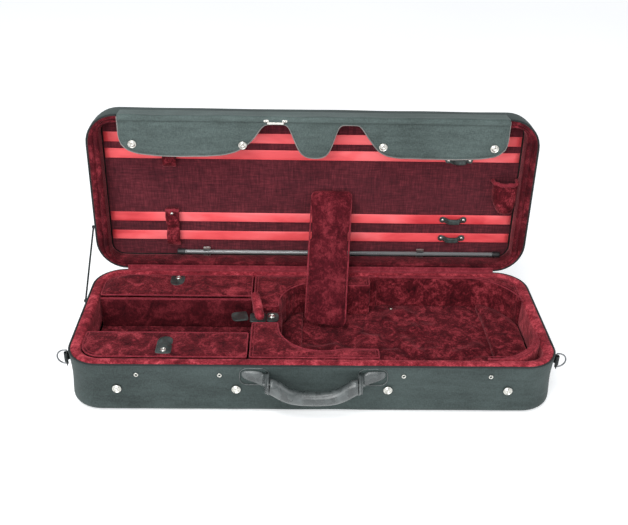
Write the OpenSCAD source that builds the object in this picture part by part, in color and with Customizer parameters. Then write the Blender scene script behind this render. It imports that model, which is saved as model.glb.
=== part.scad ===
// Oblong violin case, standing open: a padded base with a violin well and three
// compartments, and a lid that carries bows, a string tube and a snap-down front flap.
// Frame: X along the case (neck end at -X), Y from front (-Y) to back (+Y), Z up.
// Origin: centre of the underside of the base. Millimetres.

/* [Case] */
// Length of the case
case_w = 800; // [760:1:840]
// Depth of the case from front to back
case_d = 300; // [290:1:320]
// Height of the base, from the floor to its rim
base_h = 95; // [90:1:110]
// Depth of the lid, from its rim to its top
lid_h = 52; // [48:1:70]
// Radius of the four vertical corners
corner_r = 55; // [40:1:70]
// Rounding of the outer edges of the base's underside and the lid's top
edge_r = 10; // [6:1:14]
// Thickness of the outer shells
shell_t = 6; // [4:0.5:8]
// Thickness of the tape round the base's rim
piping_t = 1.2; // [0.8:0.2:2]
// Lean of the open lid past vertical
lid_lean = 2; // [0:0.5:6]

/* [Lining] */
// Thickness of the padded lining on the side walls
lining_t = 14; // [12:1:16]
// Height of the well's floor above the ground
floor_z = 30; // [20:1:40]
// Gap left between pieces that move past each other
gap = 0.6; // [0.3:0.1:1]
// Depth of the lid's open space, from rim to panel
lid_space = 38; // [30:1:40]

/* [Violin well] */
// Length of the bout at the neck end
upper_x = 148; // [148:1:156]
// Corner radius of the bout at the neck end
upper_r = 73; // [60:1:73]
// Corner radius of the bout at the tail end
lower_r = 102; // [80:1:110]
// Width of the channel that the violin's neck lies in
neck_w = 50; // [40:1:60]

/* [Hardware] */
// Diameter of the large press studs and snap caps
stud_dia = 15; // [12:0.5:18]
// Distance of the large studs below the rim
stud_drop = 49; // [44:1:54]
// Diameter of the handle's grip
grip_dia = 22; // [18:1:24]
// Distance of the handle's pins in front of the front face
grip_out = 22; // [20:1:28]
// Diameter of the handle's two pins
pin_dia = 5; // [4:0.5:6]
// Wire diameter of the side rings
ring_wire = 2.6; // [2:0.2:4]
// Diameter of the string tube
tube_dia = 8; // [7:0.5:9]
// Width of the satin ribbons
ribbon_w = 18.5; // [16:0.5:22]

/* [Hidden] */
$fn = 48;
half_w = case_w / 2;
half_d = case_d / 2;
inner_x = half_w - shell_t - lining_t;
inner_y = half_d - shell_t - lining_t;
inner_r = corner_r - shell_t - lining_t;
foam_h = base_h - floor_z;

// the violin well's outline
upper_x0 = -58;
upper_y0 = -109;
upper_y1 = 105;
waist_y0 = -103;
waist_y1 = 94;
lower_x0 = 108;
lower_x1 = inner_x + 2;
lower_y1 = 126;
channel_x0 = -105;
channel_y = -3;
support_z = 86;

// the two lidded boxes at the neck end
box_x0 = -inner_x + 0.5;
box_x1 = -107;
rear_box_y = 56;
front_box_y = -58;
divider_t = 6;
cover_t = 4.5;
cover_z = base_h - 0.5;

// the lid's lining and the things on its panel, as heights above the hinge line
lid_low = 13.5;
lid_top = case_d - 16;
lid_inner_x = half_w - 23;
lid_inner_r = 22;
ribbon_s = [238, 207, 82, 44];
loop_x = 266;
holder_x = -260;
tube_s = 21;
tube_t = 31;
tube_x0 = -248;
tube_x1 = lid_inner_x - 22;
cap_r = 5.6;
clip_x = [-199, 208];

// the flap hangs plumb in front of the lid's front edge
edge_y = half_d + case_d * sin(lid_lean);
edge_z = base_h + case_d * cos(lid_lean);
flap_t = 2.5;
flap_back = 7.5;
flap_y = edge_y - flap_back - flap_t;
flap_top = edge_z + 2;
stud_x = [-317, -125, 121, 317];
eyelet_x = [-284, -151, 145, 286];
eyelet_z = 74;

// the handle
pin_y = -half_d - grip_out;
pin_z = 73;
grip_z = 45;
bend_r = 27;
grip_x = 58;
ear_x0 = 70;
ear_x1 = 81;

// the side rings and the stay
ring_y = -104;
ring_z = 75;
ring_half = 13;
stay_wire = 3.5;
stay_x = -half_w - piping_t - stay_wire / 2 - 0.3;
stay_base_y = 45;
stay_lid_s = 82;

// the loose pad, leaning on the lid's panel
pad_w = 80;
pad_x = 30;
pad_t = 12;
pad_len = 242;
pad_foot_y = 49;
pad_foot_z = floor_z + pad_t;
pad_lean = 34.6;
pad_crease = 80;

velvet = [0.48, 0.11, 0.16];
velvet_lit = [0.63, 0.2, 0.27];
cloth = [0.27, 0.33, 0.32];
leather = [0.09, 0.11, 0.11];
satin = [0.94, 0.31, 0.35];
silver = [0.85, 0.84, 0.8];

// ---------------------------------------------------------------- helpers

// rectangle with round corners, its low corner at [x0, y0]
module round_rect(x0, y0, x1, y1, r) {
    translate([x0 + r, y0]) square([x1 - x0 - 2 * r, y1 - y0]);
    translate([x0, y0 + r]) square([x1 - x0, y1 - y0 - 2 * r]);
    for (x = [x0 + r, x1 - r], y = [y0 + r, y1 - r]) translate([x, y]) circle(r);
}

// closed box with round vertical corners and rounded edges underneath
module soft_box(w, d, h, r, e) {
    hull()
        for (x = [r - w / 2, w / 2 - r], y = [r - d / 2, d / 2 - r], a = [0, 30, 60, 90])
            translate([x, y, e * (1 - cos(a))])
                cylinder(r = r - e + e * sin(a), h = h - e * (1 - cos(a)), $fn = 32);
}

// inside outline of the lined base
module inner_plan(grow = 0) {
    round_rect(-inner_x - grow, -inner_y - grow, inner_x + grow, inner_y + grow,
               inner_r + grow);
}

// outline of the violin well
module well_plan() {
    round_rect(upper_x0, upper_y0, upper_x0 + upper_x, upper_y1, upper_r);
    translate([20, waist_y0]) square([lower_x0 + 40, waist_y1 - waist_y0]);
    difference() {
        translate([lower_x0, -inner_y]) square([lower_x1 - lower_x0, inner_y + lower_y1]);
        for (s = [-1, 1]) tail_corner(s, lower_r);
    }
}

// what the round corner of the tail bout leaves over, at the back (1) or the front (-1)
module tail_corner(side, r) {
    x = lower_x1 - lower_r;
    y = side > 0 ? lower_y1 - lower_r : lower_r - inner_y;
    difference() {
        translate([x, side > 0 ? y : y - lower_r - 1]) square([lower_r + 1, lower_r + 1]);
        translate([x, y]) circle(r, $fn = 96);
    }
}

// puts a piece into the open lid: x along the case, y away from the rim, z up the lid
module in_lid() {
    translate([0, half_d, base_h]) rotate([-lid_lean, 0, 0]) children();
}

// round cap standing out of a face that looks towards -Y
module front_cap(d, h) {
    rotate([90, 0, 0]) {
        cylinder(d = d, h = h * 0.6);
        cylinder(d = d * 0.72, h = h);
    }
}

// ---------------------------------------------------------------- base

module base_shell() {
    color(cloth) difference() {
        soft_box(case_w, case_d, base_h, corner_r, edge_r);
        translate([0, 0, shell_t]) linear_extrude(base_h) inner_plan(lining_t);
    }
}

// tape sewn round the outer edge of the rim
module base_piping() {
    color(leather) translate([0, 0, base_h - 3]) linear_extrude(2.4) difference() {
        inner_plan(lining_t + shell_t + piping_t);
        inner_plan(lining_t + shell_t);
    }
}

module wall_lining() {
    color(velvet_lit) translate([0, 0, shell_t]) linear_extrude(base_h - shell_t)
        difference() {
            inner_plan(lining_t);
            inner_plan();
        }
}

module well_floor() {
    color(velvet) translate([0, 0, shell_t]) linear_extrude(floor_z - shell_t) inner_plan();
}

// solid foam beside the well, standing on the floor
module foam(x0, x1, y0, y1) {
    color(velvet) translate([0, 0, floor_z]) linear_extrude(foam_h) difference() {
        intersection() {
            inner_plan();
            translate([x0, y0]) square([x1 - x0, y1 - y0]);
        }
        well_plan();
    }
}

module rear_block() {
    foam(channel_x0, lower_x0 + 15, channel_y + neck_w / 2, half_d);
}

module front_block() {
    foam(channel_x0, lower_x0 + 15, -half_d, channel_y - neck_w / 2);
}

module corner_block() {
    color(velvet) translate([0, 0, floor_z]) linear_extrude(foam_h) intersection() {
        inner_plan();
        union() {
            tail_corner(1, lower_r);
            translate([lower_x0 + 15, lower_y1]) square([case_w, half_d]);
        }
    }
}

// curved wall between the tail bout and the corner pocket
module tail_wall() {
    t = 11;
    color(velvet_lit) translate([0, 0, floor_z]) linear_extrude(foam_h) intersection() {
        tail_corner(-1, lower_r);
        inner_plan();
        translate([lower_x1 - lower_r, lower_r - inner_y]) circle(lower_r + t, $fn = 96);
    }
}

module neck_support() {
    color(velvet) translate([channel_x0, channel_y - neck_w / 2 + 0.2, floor_z])
        cube([upper_x0 + 4 - channel_x0, neck_w - 0.4, support_z - floor_z]);
}

// padded bar across the neck channel
module neck_cradle() {
    r = 8.5;
    color(velvet_lit) hull() {
        translate([-101, 40, base_h + r + 0.5]) sphere(r, $fn = 24);
        translate([-91, channel_y - neck_w / 2 + r + 0.5, base_h + r - 0.8]) sphere(r, $fn = 24);
    }
}

// one half of the leather neck strap, lying flat; dir is -1 towards the scroll end
module strap_half(dir, length) {
    w = 27;
    t = 2.4;
    color(leather) linear_extrude(t) {
        translate([dir > 0 ? 0 : -length + w / 4, -w / 2]) square([length - w / 4, w]);
        translate([dir > 0 ? 0 : -length, -w / 4]) square([length, w / 2]);
        for (s = [-1, 1]) translate([dir * (length - w / 4), s * w / 4]) circle(w / 4);
    }
}

// middle of the strap, held down under the cradle bar
module neck_strap_middle() {
    color(leather) translate([-109, channel_y - 13.5, support_z]) cube([28, 27, 2.4]);
}

module neck_strap_left() {
    translate([-113, 2, support_z + 1]) rotate(12) strap_half(-1, 28);
}

module neck_strap_right() {
    translate([-80, channel_y, support_z + 1]) strap_half(1, 21);
}

module strap_snap() {
    color(silver) translate([-71, channel_y, support_z + 3.4]) {
        cylinder(d = 12, h = 1.5);
        cylinder(d = 8, h = 3);
    }
}

module divider(y) {
    color(velvet_lit) translate([box_x0, y, floor_z])
        cube([box_x1 - box_x0, divider_t, cover_z - cover_t - floor_z - gap]);
}

module rear_divider() {
    divider(rear_box_y - divider_t);
}

module front_divider() {
    divider(front_box_y);
}

// padded cover of a box
module box_cover(y0, y1) {
    color(velvet) translate([0, 0, cover_z - cover_t]) linear_extrude(cover_t)
        intersection() {
            inner_plan(-gap);
            translate([box_x0, y0]) square([box_x1 - box_x0 - gap, y1 - y0]);
        }
}

module rear_cover() {
    box_cover(rear_box_y, half_d);
}

module front_cover() {
    box_cover(-half_d, front_box_y);
}

// leather pull tab with one round end, lying on a cover
module pull_tab(w, length, turn) {
    color(leather) rotate(turn) linear_extrude(2) {
        translate([-w / 2, 0]) square([w, length - w / 2]);
        translate([0, length - w / 2]) circle(w / 2);
    }
}

module rear_tab() {
    translate([-247, 122, cover_z]) pull_tab(26, 34, 180);
}

module front_tab() {
    translate([-244, -122, cover_z]) pull_tab(26, 48, 0);
}

module tab_snap() {
    color(silver) {
        cylinder(d = 10, h = 1.2);
        cylinder(d = 6.5, h = 2.4);
    }
}

module rear_tab_snap() {
    translate([-246, 113, cover_z + 2]) tab_snap();
}

module front_tab_snap() {
    translate([-244, -114, cover_z + 2]) tab_snap();
}

module cushion(x0, x1, y0, y1, h) {
    color(velvet) translate([0, 0, floor_z]) linear_extrude(h) intersection() {
        difference() {
            inner_plan(-1);
            tail_corner(1, lower_r - 1);
            tail_corner(-1, lower_r - 1);
        }
        translate([x0, y0]) square([x1 - x0, y1 - y0]);
    }
}

module neck_end_cushion() {
    color(velvet) translate([0, 0, floor_z]) linear_extrude(8) intersection() {
        round_rect(upper_x0 + 5, upper_y0 + 1, upper_x0 + upper_x, upper_y1 - 1, upper_r - 4);
        translate([upper_x0 + 5, -half_d]) square([-upper_x0 - 20, case_d]);
    }
}

module tail_cushion() {
    cushion(313, lower_x1 - 1, -inner_y + 1, lower_y1 - 1, 14);
}

module well_button() {
    color(silver) translate([152, 118, floor_z]) {
        cylinder(d = 8, h = 1.2);
        cylinder(d = 5, h = 2.6);
    }
}

// ---------------------------------------------------------------- outside hardware

module snap_studs() {
    color(silver) for (x = stud_x)
        translate([x, -half_d, base_h - stud_drop]) front_cap(stud_dia, 3);
}

module eyelets() {
    color(silver) for (x = eyelet_x)
        translate([x, -half_d, eyelet_z]) rotate([90, 0, 0]) difference() {
            cylinder(d = 7.5, h = 1.2);
            translate([0, 0, -1]) cylinder(d = 3.6, h = 4);
        }
}

// moulded boot that holds one end of the handle, drawn for the right-hand end
module handle_mount() {
    boot_t = 6.5;
    color(leather) difference() {
        union() {
            translate([ear_x0, -half_d, 0]) rotate([90, 0, 0]) linear_extrude(boot_t) {
                translate([0, 49]) square([14, 37]);
                translate([0, 58]) square([26, 28]);
                translate([0, 66]) square([43, 12]);
                translate([0, 66]) square([35, 20]);
                translate([35, 77]) circle(9);
                translate([35, 74]) circle(9);
            }
            translate([ear_x0, pin_y, pin_z - 7]) cube([ear_x1 - ear_x0, -half_d - pin_y, 14]);
            translate([ear_x0, pin_y, pin_z]) rotate([0, 90, 0])
                cylinder(r = 7, h = ear_x1 - ear_x0);
        }
        translate([ear_x0 - 1, pin_y, pin_z]) rotate([0, 90, 0])
            cylinder(d = pin_dia, h = ear_x1 - ear_x0 + 2);
    }
}

module handle_mount_right() {
    handle_mount();
}

module handle_mount_left() {
    mirror([1, 0, 0]) handle_mount();
}

module handle_pins() {
    color(silver) for (s = [-1, 1])
        translate([s > 0 ? grip_x : -ear_x1, pin_y, pin_z]) rotate([0, 90, 0])
            cylinder(d = pin_dia, h = ear_x1 - grip_x);
}

// moulded grip: a level bar whose ends bend up to the pins
module handle_grip() {
    r = grip_dia / 2;
    arm = grip_x - bend_r;
    color([0.2, 0.21, 0.22]) difference() {
        union() {
            translate([-arm, pin_y, grip_z]) rotate([0, 90, 0]) cylinder(r = r, h = 2 * arm);
            for (s = [0, 1]) mirror([s, 0, 0]) {
                translate([arm, pin_y, grip_z + bend_r]) rotate([90, 0, 0])
                    rotate([0, 0, -90]) rotate_extrude(angle = 90)
                        translate([bend_r, 0]) circle(r);
                translate([grip_x, pin_y, grip_z + bend_r]) cylinder(r = r, h = 10);
            }
        }
        for (s = [-1, 1]) translate([s > 0 ? grip_x - 2 : -grip_x - 14, pin_y, pin_z])
            rotate([0, 90, 0]) cylinder(d = pin_dia + 0.1, h = 16);
    }
}

// webbing patch on the side face, rolled round the ring's upright bar
module ring_tab() {
    r = ring_wire / 2;
    x = half_w + 3.6;
    color(leather) difference() {
        union() {
            translate([half_w, ring_y - 7, ring_z - 20]) cube([1.6, 14, 36]);
            translate([half_w, ring_y - 1.6, ring_z - 9]) cube([3.6, 3.2, 18]);
            translate([x, ring_y, ring_z - 9]) cylinder(r = 3, h = 18);
        }
        translate([x, ring_y, ring_z - 20]) cylinder(r = r + 0.05, h = 40);
    }
}

module ring_tab_right() {
    ring_tab();
}

module ring_tab_left() {
    mirror([1, 0, 0]) ring_tab();
}

// wire ring: an upright bar, two short arms and a round bow
module side_ring() {
    r = ring_wire / 2;
    arm = 3;
    x = half_w + 3.6;
    color(silver) translate([x, ring_y, ring_z]) {
        translate([0, 0, -ring_half]) cylinder(r = r, h = 2 * ring_half, $fn = 24);
        for (s = [-1, 1]) translate([0, 0, s * ring_half]) {
            sphere(r, $fn = 24);
            rotate([0, 90, 0]) cylinder(r = r, h = arm, $fn = 24);
        }
        translate([arm, 0, 0]) rotate([90, 0, 0]) rotate([0, 0, -90])
            rotate_extrude(angle = 180) translate([ring_half, 0]) circle(r, $fn = 24);
    }
}

module ring_right() {
    side_ring();
}

module ring_left() {
    mirror([1, 0, 0]) side_ring();
}

// cloth tape along the back, under the line that the lid turns on
module hinge_tape() {
    color(cloth) translate([corner_r - half_w, half_d, base_h - 28])
        cube([case_w - 2 * corner_r, 1.2, 24]);
}

// ---------------------------------------------------------------- lid

// outline of the space inside the lid's lining, as x and height above the hinge line
module lid_plan() {
    round_rect(-lid_inner_x, lid_low, lid_inner_x, lid_top, lid_inner_r);
}

// a flat layer of the lid, from t0 to t1 behind the rim
module lid_layer(t0, t1) {
    translate([0, t1, 0]) rotate([90, 0, 0]) linear_extrude(t1 - t0) children();
}

module lid_shell() {
    wall = shell_t;
    color(cloth) in_lid() difference() {
        translate([0, lid_h, half_d]) rotate([90, 0, 0])
            soft_box(case_w, case_d, lid_h - gap, corner_r, edge_r);
        lid_layer(-1, lid_h - wall)
            round_rect(wall - half_w, wall, half_w - wall, case_d - wall, corner_r - wall);
    }
}

module lid_lining() {
    wall = shell_t;
    color(velvet_lit) in_lid() lid_layer(gap, lid_h - wall) difference() {
        round_rect(wall - half_w, wall, half_w - wall, case_d - wall, corner_r - wall);
        lid_plan();
    }
}

module lid_panel() {
    color([0.3, 0.1, 0.12]) in_lid() lid_layer(lid_space, lid_h - shell_t) lid_plan();
}

// satin ribbon from wall to wall, just in front of the panel
module ribbon(i) {
    color(satin) in_lid() translate([gap - lid_inner_x, lid_space - 1.2, ribbon_s[i - 1]])
        cube([2 * (lid_inner_x - gap), 1, ribbon_w]);
}

// soft loop that holds a bow's tip, over a pair of ribbons
module bow_holder(s0, s1) {
    w = 26;
    deep = 15;
    y = lid_space - 1.6 - deep;
    color(velvet) in_lid() translate([holder_x - w / 2, y, 0]) difference() {
        translate([0, 0, s0]) cube([w, deep, s1 - s0]);
        for (s = [s0 + 6, (s0 + s1) / 2 + 3])
            translate([-1, 4, s]) cube([w + 2, deep - 8, (s1 - s0) / 2 - 9]);
    }
}

module bow_holder_lower() {
    bow_holder(34, 108);
}

module bow_holder_upper() {
    bow_holder(193, 262);
}

module holder_rivets() {
    color(silver) in_lid() for (s = [104, 258])
        translate([holder_x, lid_space - 16.6, s]) front_cap(6, 1.6);
}

// arched leather loop for a bow's stick, riveted to a ribbon at both ends
module bow_loop(s) {
    w = 47;
    t = 2;
    rise = 12;
    y = lid_space - 1.4;
    color(leather) in_lid() translate([loop_x, y, s]) {
        for (k = [-1, 1]) {
            translate([k * (w / 2 - 6) - 6, -t, -6]) cube([12, t, 12]);
            translate([k * 14 - t / 2, -rise, -5]) cube([t, rise, 10]);
        }
        translate([-14 - t / 2, -rise - t, -5]) cube([28 + t, t, 10]);
    }
}

module bow_loops() {
    for (s = ribbon_s) bow_loop(s + ribbon_w / 2);
}

module loop_rivets() {
    color(silver) in_lid() for (s = ribbon_s, k = [-1, 1])
        translate([loop_x + k * 19.5, lid_space - 3.4, s + ribbon_w / 2])
            front_cap(5.5, 1.4);
}

// small velvet pocket in the corner of panel and end wall
module lid_pocket() {
    x0 = 336;
    y0 = 16;
    t = 4;
    color(velvet) in_lid() difference() {
        translate([x0, y0, 107]) cube([lid_inner_x - x0, lid_space - 1.6 - y0, 62]);
        translate([x0 + t, y0 + t, 107 + t])
            cube([lid_inner_x - x0 - 2 * t, lid_space - 1.6 - y0 - 2 * t, 62]);
    }
}

module tube_clips() {
    w = 13;
    r = tube_dia / 2;
    color(leather) in_lid() for (x = clip_x) translate([x - w / 2, tube_t, tube_s])
        difference() {
            union() {
                rotate([0, 90, 0]) cylinder(r = r + 1.7, h = w);
                translate([0, 0, -3]) cube([w, lid_space - tube_t, 6]);
            }
            translate([-1, 0, 0]) rotate([0, 90, 0]) cylinder(r = r + 0.05, h = w + 2);
            translate([-1, -10, -r - 0.05]) cube([w + 2, 10, 2 * r + 0.1]);
        }
}

module string_tube() {
    color([0.75, 0.75, 0.75, 0.5]) in_lid() translate([tube_x0, tube_t, tube_s])
        rotate([0, 90, 0]) difference() {
            cylinder(d = tube_dia, h = tube_x1 - tube_x0);
            translate([0, 0, -1]) cylinder(d = tube_dia - 1.6, h = tube_x1 - tube_x0 + 2);
        }
}

// push-on cap, 15 long, closed at its outer end
module tube_cap(x, dir) {
    length = 15;
    color(leather) in_lid() translate([x, tube_t, tube_s]) rotate([0, 90 * dir, 0])
        difference() {
            translate([0, 0, -8]) cylinder(r = cap_r, h = length);
            translate([0, 0, -9]) cylinder(r = tube_dia / 2 + 0.05, h = 9.3);
        }
}

module tube_cap_left() {
    tube_cap(tube_x0, -1);
}

module tube_cap_right() {
    tube_cap(tube_x1, 1);
}

// cord that stops the lid, from the lid's end to the base's end
module lid_stay() {
    y1 = half_d + stay_lid_s * sin(lid_lean) + 6;
    z1 = base_h + stay_lid_s * cos(lid_lean);
    z0 = base_h - 6;
    run = y1 - stay_base_y;
    rise = z1 - z0;
    color(leather) translate([stay_x, stay_base_y, z0]) rotate([-atan2(run, rise), 0, 0])
        cylinder(d = stay_wire, h = sqrt(run * run + rise * rise), $fn = 16);
}

// ---------------------------------------------------------------- flap

// one hanging lobe: top edge from xa to xd, bottom edge from xb to xc, drop deep
module lobe(xa, xb, xc, xd, drop, r) {
    hull() {
        translate([xa, -8]) square([xd - xa, 6]);
        translate([xb + r, r - drop]) circle(r, $fn = 32);
        translate([xc - r, r - drop]) circle(r, $fn = 32);
    }
}

module front_flap() {
    color(cloth) translate([0, flap_y + flap_t, flap_top]) rotate([90, 0, 0])
        linear_extrude(flap_t) {
            translate([-328, -12]) square([656, 12]);
            lobe(-340, -334, -122, -86, 70, 28);
            lobe(-47, -28, 26, 42, 74, 20);
            lobe(75, 118, 330, 340, 72, 28);
        }
}

module flap_snaps() {
    color(silver) for (x = stud_x)
        translate([x, flap_y, edge_z - stud_drop]) front_cap(stud_dia, 2.6);
}

// flat metal keeper riveted to the flap between two lobes
module flap_keeper() {
    color(silver) translate([0, flap_y, edge_z - 6]) {
        for (x = [-88, -57]) translate([x, -2, 0]) cube([10, 2, 5]);
        translate([-80, -2, -4]) cube([26, 2, 5]);
    }
}

// ---------------------------------------------------------------- pad

// part of the pad, from z0 to z1 along it, with its far end at the foot or the top rounded off
module pad_part(z0, z1, round_z) {
    color(velvet) translate([pad_x, pad_foot_y, pad_foot_z]) rotate([-pad_lean, 0, 0]) {
        translate([-pad_w / 2, -pad_t / 2, z0]) cube([pad_w, pad_t, z1 - z0]);
        translate([-pad_w / 2, 0, round_z]) rotate([0, 90, 0]) cylinder(d = pad_t, h = pad_w);
    }
}

// the part below the crease stays in the well
module pad_lower() {
    pad_part(0, pad_crease - gap / 2, 0);
}

// the part above the crease folds forward over the well
module pad_upper() {
    pad_part(pad_crease + gap / 2, pad_len, pad_len);
}

base_shell();
base_piping();
wall_lining();
well_floor();
rear_block();
front_block();
corner_block();
tail_wall();
neck_support();
neck_cradle();
neck_strap_middle();
neck_strap_left();
neck_strap_right();
strap_snap();
rear_divider();
front_divider();
rear_cover();
front_cover();
rear_tab();
front_tab();
rear_tab_snap();
front_tab_snap();
neck_end_cushion();
tail_cushion();
well_button();
snap_studs();
eyelets();
handle_mount_left();
handle_mount_right();
handle_pins();
handle_grip();
ring_tab_left();
ring_tab_right();
ring_left();
ring_right();
hinge_tape();
lid_shell();
lid_lining();
lid_panel();
ribbon(1);  // ribbon_1
ribbon(2);  // ribbon_2
ribbon(3);  // ribbon_3
ribbon(4);  // ribbon_4
bow_holder_lower();
bow_holder_upper();
holder_rivets();
bow_loops();
loop_rivets();
lid_pocket();
tube_clips();
string_tube();
tube_cap_left();
tube_cap_right();
lid_stay();
front_flap();
flap_snaps();
flap_keeper();
pad_lower();
pad_upper();
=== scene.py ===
"""The looks of an oblong violin case that stands open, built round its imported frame.

Lengths in this script are millimetres in the row's own frame, and add_mesh() turns them into metres.
"""

import math

import bmesh
import bpy
import numpy as np
from mathutils import Matrix, Vector, noise


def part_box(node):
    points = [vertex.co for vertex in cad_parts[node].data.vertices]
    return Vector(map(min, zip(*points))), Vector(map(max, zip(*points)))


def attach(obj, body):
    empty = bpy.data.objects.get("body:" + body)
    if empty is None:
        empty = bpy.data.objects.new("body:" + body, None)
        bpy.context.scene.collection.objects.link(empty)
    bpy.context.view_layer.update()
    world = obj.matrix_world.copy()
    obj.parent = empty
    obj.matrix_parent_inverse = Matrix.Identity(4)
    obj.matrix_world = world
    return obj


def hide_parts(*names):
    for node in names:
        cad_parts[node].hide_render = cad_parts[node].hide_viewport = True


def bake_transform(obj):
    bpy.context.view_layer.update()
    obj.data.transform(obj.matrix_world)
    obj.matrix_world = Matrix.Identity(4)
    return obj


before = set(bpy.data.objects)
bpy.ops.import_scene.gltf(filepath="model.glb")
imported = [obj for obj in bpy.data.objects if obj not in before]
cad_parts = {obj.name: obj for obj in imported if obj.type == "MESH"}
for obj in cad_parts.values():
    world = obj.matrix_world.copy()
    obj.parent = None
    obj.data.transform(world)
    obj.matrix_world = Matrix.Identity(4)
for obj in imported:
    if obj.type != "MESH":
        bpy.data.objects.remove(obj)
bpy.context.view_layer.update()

SCENE = bpy.context.scene
MM = 0.001


def box_mm(node):
    """A node's lowest and highest corner in millimetres."""
    low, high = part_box(node)
    return low / MM, high / MM


# ---------------------------------------------------------------- sizes from the frame

HALF_W = box_mm("base_shell")[1].x
HALF_D = box_mm("base_shell")[1].y
BASE_H = box_mm("base_shell")[1].z
FLOOR_Z = box_mm("well_floor")[1].z
PIN = box_mm("handle_pins")
LID_D = 300.0
LID_H = 52.0
CORNER_R = 55.0
LEAN = math.radians(2)
LID = Matrix.Translation((0, HALF_D, BASE_H)) @ Matrix.Rotation(-LEAN, 4, "X")
PANEL_T = 38.0
RIBBONS = (238.0, 207.0, 82.0, 44.0)
RIBBON_W = 18.5
STUD_X = (-317.0, -125.0, 121.0, 317.0)
EYELET_X = (-151.0, 145.0)
HOLDER_X = -260.0
LOOP_X = 266.0
RIVET_OUT = 19.5
CLIP_X = (-199.0, 208.0)
CLIP_S = (13.6, 28.4)
RING_Y = -104.0
RING_Z = 75.0
FLOOR_SEAMS = (199.0, 312.0)
PAD_FOLD = 80.0
PAD_BACK = 7.4
PAD_FRONT = 12.0


# ---------------------------------------------------------------- camera

def make_camera():
    """The camera, three quarters above the front, a touch left of the middle."""
    pitch, yaw, roll = 0.5217, 0.0286, 0.0242
    ahead = Vector((math.sin(yaw) * math.cos(pitch), math.cos(yaw) * math.cos(pitch), -math.sin(pitch)))
    level = Vector((math.cos(yaw), -math.sin(yaw), 0))
    up = level.cross(ahead)
    right = level * math.cos(roll) + up * math.sin(roll)
    up = up * math.cos(roll) - level * math.sin(roll)
    data = bpy.data.cameras.new("camera")
    data.sensor_width = 36
    data.lens = 49.54
    camera = bpy.data.objects.new("camera", data)
    turn = Matrix((right, up, -ahead)).transposed().to_4x4()
    camera.matrix_world = Matrix.Translation((-0.03575, -1.2610, 0.9228)) @ turn
    SCENE.collection.objects.link(camera)
    SCENE.camera = camera


# ---------------------------------------------------------------- mesh tools

def add_mesh(name, points, faces, place=None):
    """A smooth mesh object from millimetre points, put in place by a millimetre matrix."""
    mesh = bpy.data.meshes.new(name)
    mesh.from_pydata([tuple(p) for p in points], [], faces)
    if place is not None:
        mesh.transform(place)
    mesh.transform(Matrix.Scale(MM, 4))
    work = bmesh.new()
    work.from_mesh(mesh)
    bmesh.ops.recalc_face_normals(work, faces=work.faces)
    work.to_mesh(mesh)
    work.free()
    mesh.polygons.foreach_set("use_smooth", [True] * len(mesh.polygons))
    piece = bpy.data.objects.new(name, mesh)
    SCENE.collection.objects.link(piece)
    return piece


def settle(piece, material, body, slot, *nodes):
    """Gives a piece its material and its body, and hides the nodes that it stands for; its slot is not used.
    """
    piece.data.materials.clear()
    piece.data.materials.append(material)
    if body:
        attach(piece, body)
    if nodes:
        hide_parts(*nodes)
    return piece


def join(name, pieces):
    """One object out of several that are already made."""
    work = bmesh.new()
    for piece in pieces:
        work.from_mesh(piece.data)
        bpy.data.objects.remove(piece)
    mesh = bpy.data.meshes.new(name)
    work.to_mesh(mesh)
    work.free()
    mesh.polygons.foreach_set("use_smooth", [True] * len(mesh.polygons))
    joined = bpy.data.objects.new(name, mesh)
    SCENE.collection.objects.link(joined)
    return joined


def bake(piece):
    """Applies a piece's modifiers."""
    bpy.context.view_layer.update()
    made = piece.evaluated_get(bpy.context.evaluated_depsgraph_get())
    mesh = bpy.data.meshes.new_from_object(made)
    piece.modifiers.clear()
    piece.data = mesh
    mesh.polygons.foreach_set("use_smooth", [True] * len(mesh.polygons))
    return piece


def places(piece):
    """The places of a mesh's points, in metres."""
    co = np.zeros(len(piece.data.vertices) * 3)
    piece.data.vertices.foreach_get("co", co)
    return co.reshape(-1, 3)


def put_back(piece, co):
    piece.data.vertices.foreach_set("co", co.ravel())
    piece.data.update()


def ruffle(piece, depth, size, shift=0.0):
    """Moves each point along its normal by smooth noise; depth and size are in millimetres."""
    mesh = piece.data
    normals = np.zeros(len(mesh.vertices) * 3)
    mesh.vertices.foreach_get("normal", normals)
    co = places(piece)
    at = co / (size * MM) + shift
    rise = np.array([noise.noise(p) for p in at.tolist()])
    co += normals.reshape(-1, 3) * (rise * depth * MM)[:, None]
    put_back(piece, co)
    return piece


def subdivide(piece, levels=1):
    piece.modifiers.new("round", "SUBSURF").levels = levels
    return bake(piece)


def round_plan(x0, x1, y0, y1, r, arc=10, long=60, short=22):
    """Points round a rectangle with round corners: the same number at any size."""
    points = []
    corners = ((x1 - r, y1 - r), (x0 + r, y1 - r), (x0 + r, y0 + r), (x1 - r, y0 + r))
    for k, (cx, cy) in enumerate(corners):
        for i in range(arc + 1):
            a = math.radians(90 * (k + i / arc))
            points.append((cx + r * math.cos(a), cy + r * math.sin(a)))
        count = short if k % 2 else long
        nx, ny = corners[(k + 1) % 4]
        a = math.radians(90 * (k + 1))
        end = (nx + r * math.cos(a), ny + r * math.sin(a))
        last = points[-1]
        for i in range(1, count):
            points.append(tuple(last[j] + (end[j] - last[j]) * i / count for j in (0, 1)))
    return points


def case_plan(inset):
    """The outline of the base, drawn in by inset."""
    return round_plan(inset - HALF_W, HALF_W - inset, inset - HALF_D, HALF_D - inset,
                      max(CORNER_R - inset, 1))


def lid_outline(inset):
    """The outline of the lid, as x and height, drawn in by inset."""
    return round_plan(inset - HALF_W, HALF_W - inset, inset, LID_D - inset, max(CORNER_R - inset, 1))


def lid_hollow(inset=0.0):
    """The outline of the space inside the lid's lining."""
    return round_plan(inset - 377, 377 - inset, 13.5 + inset, 284 - inset, max(22 - inset, 1))


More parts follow.
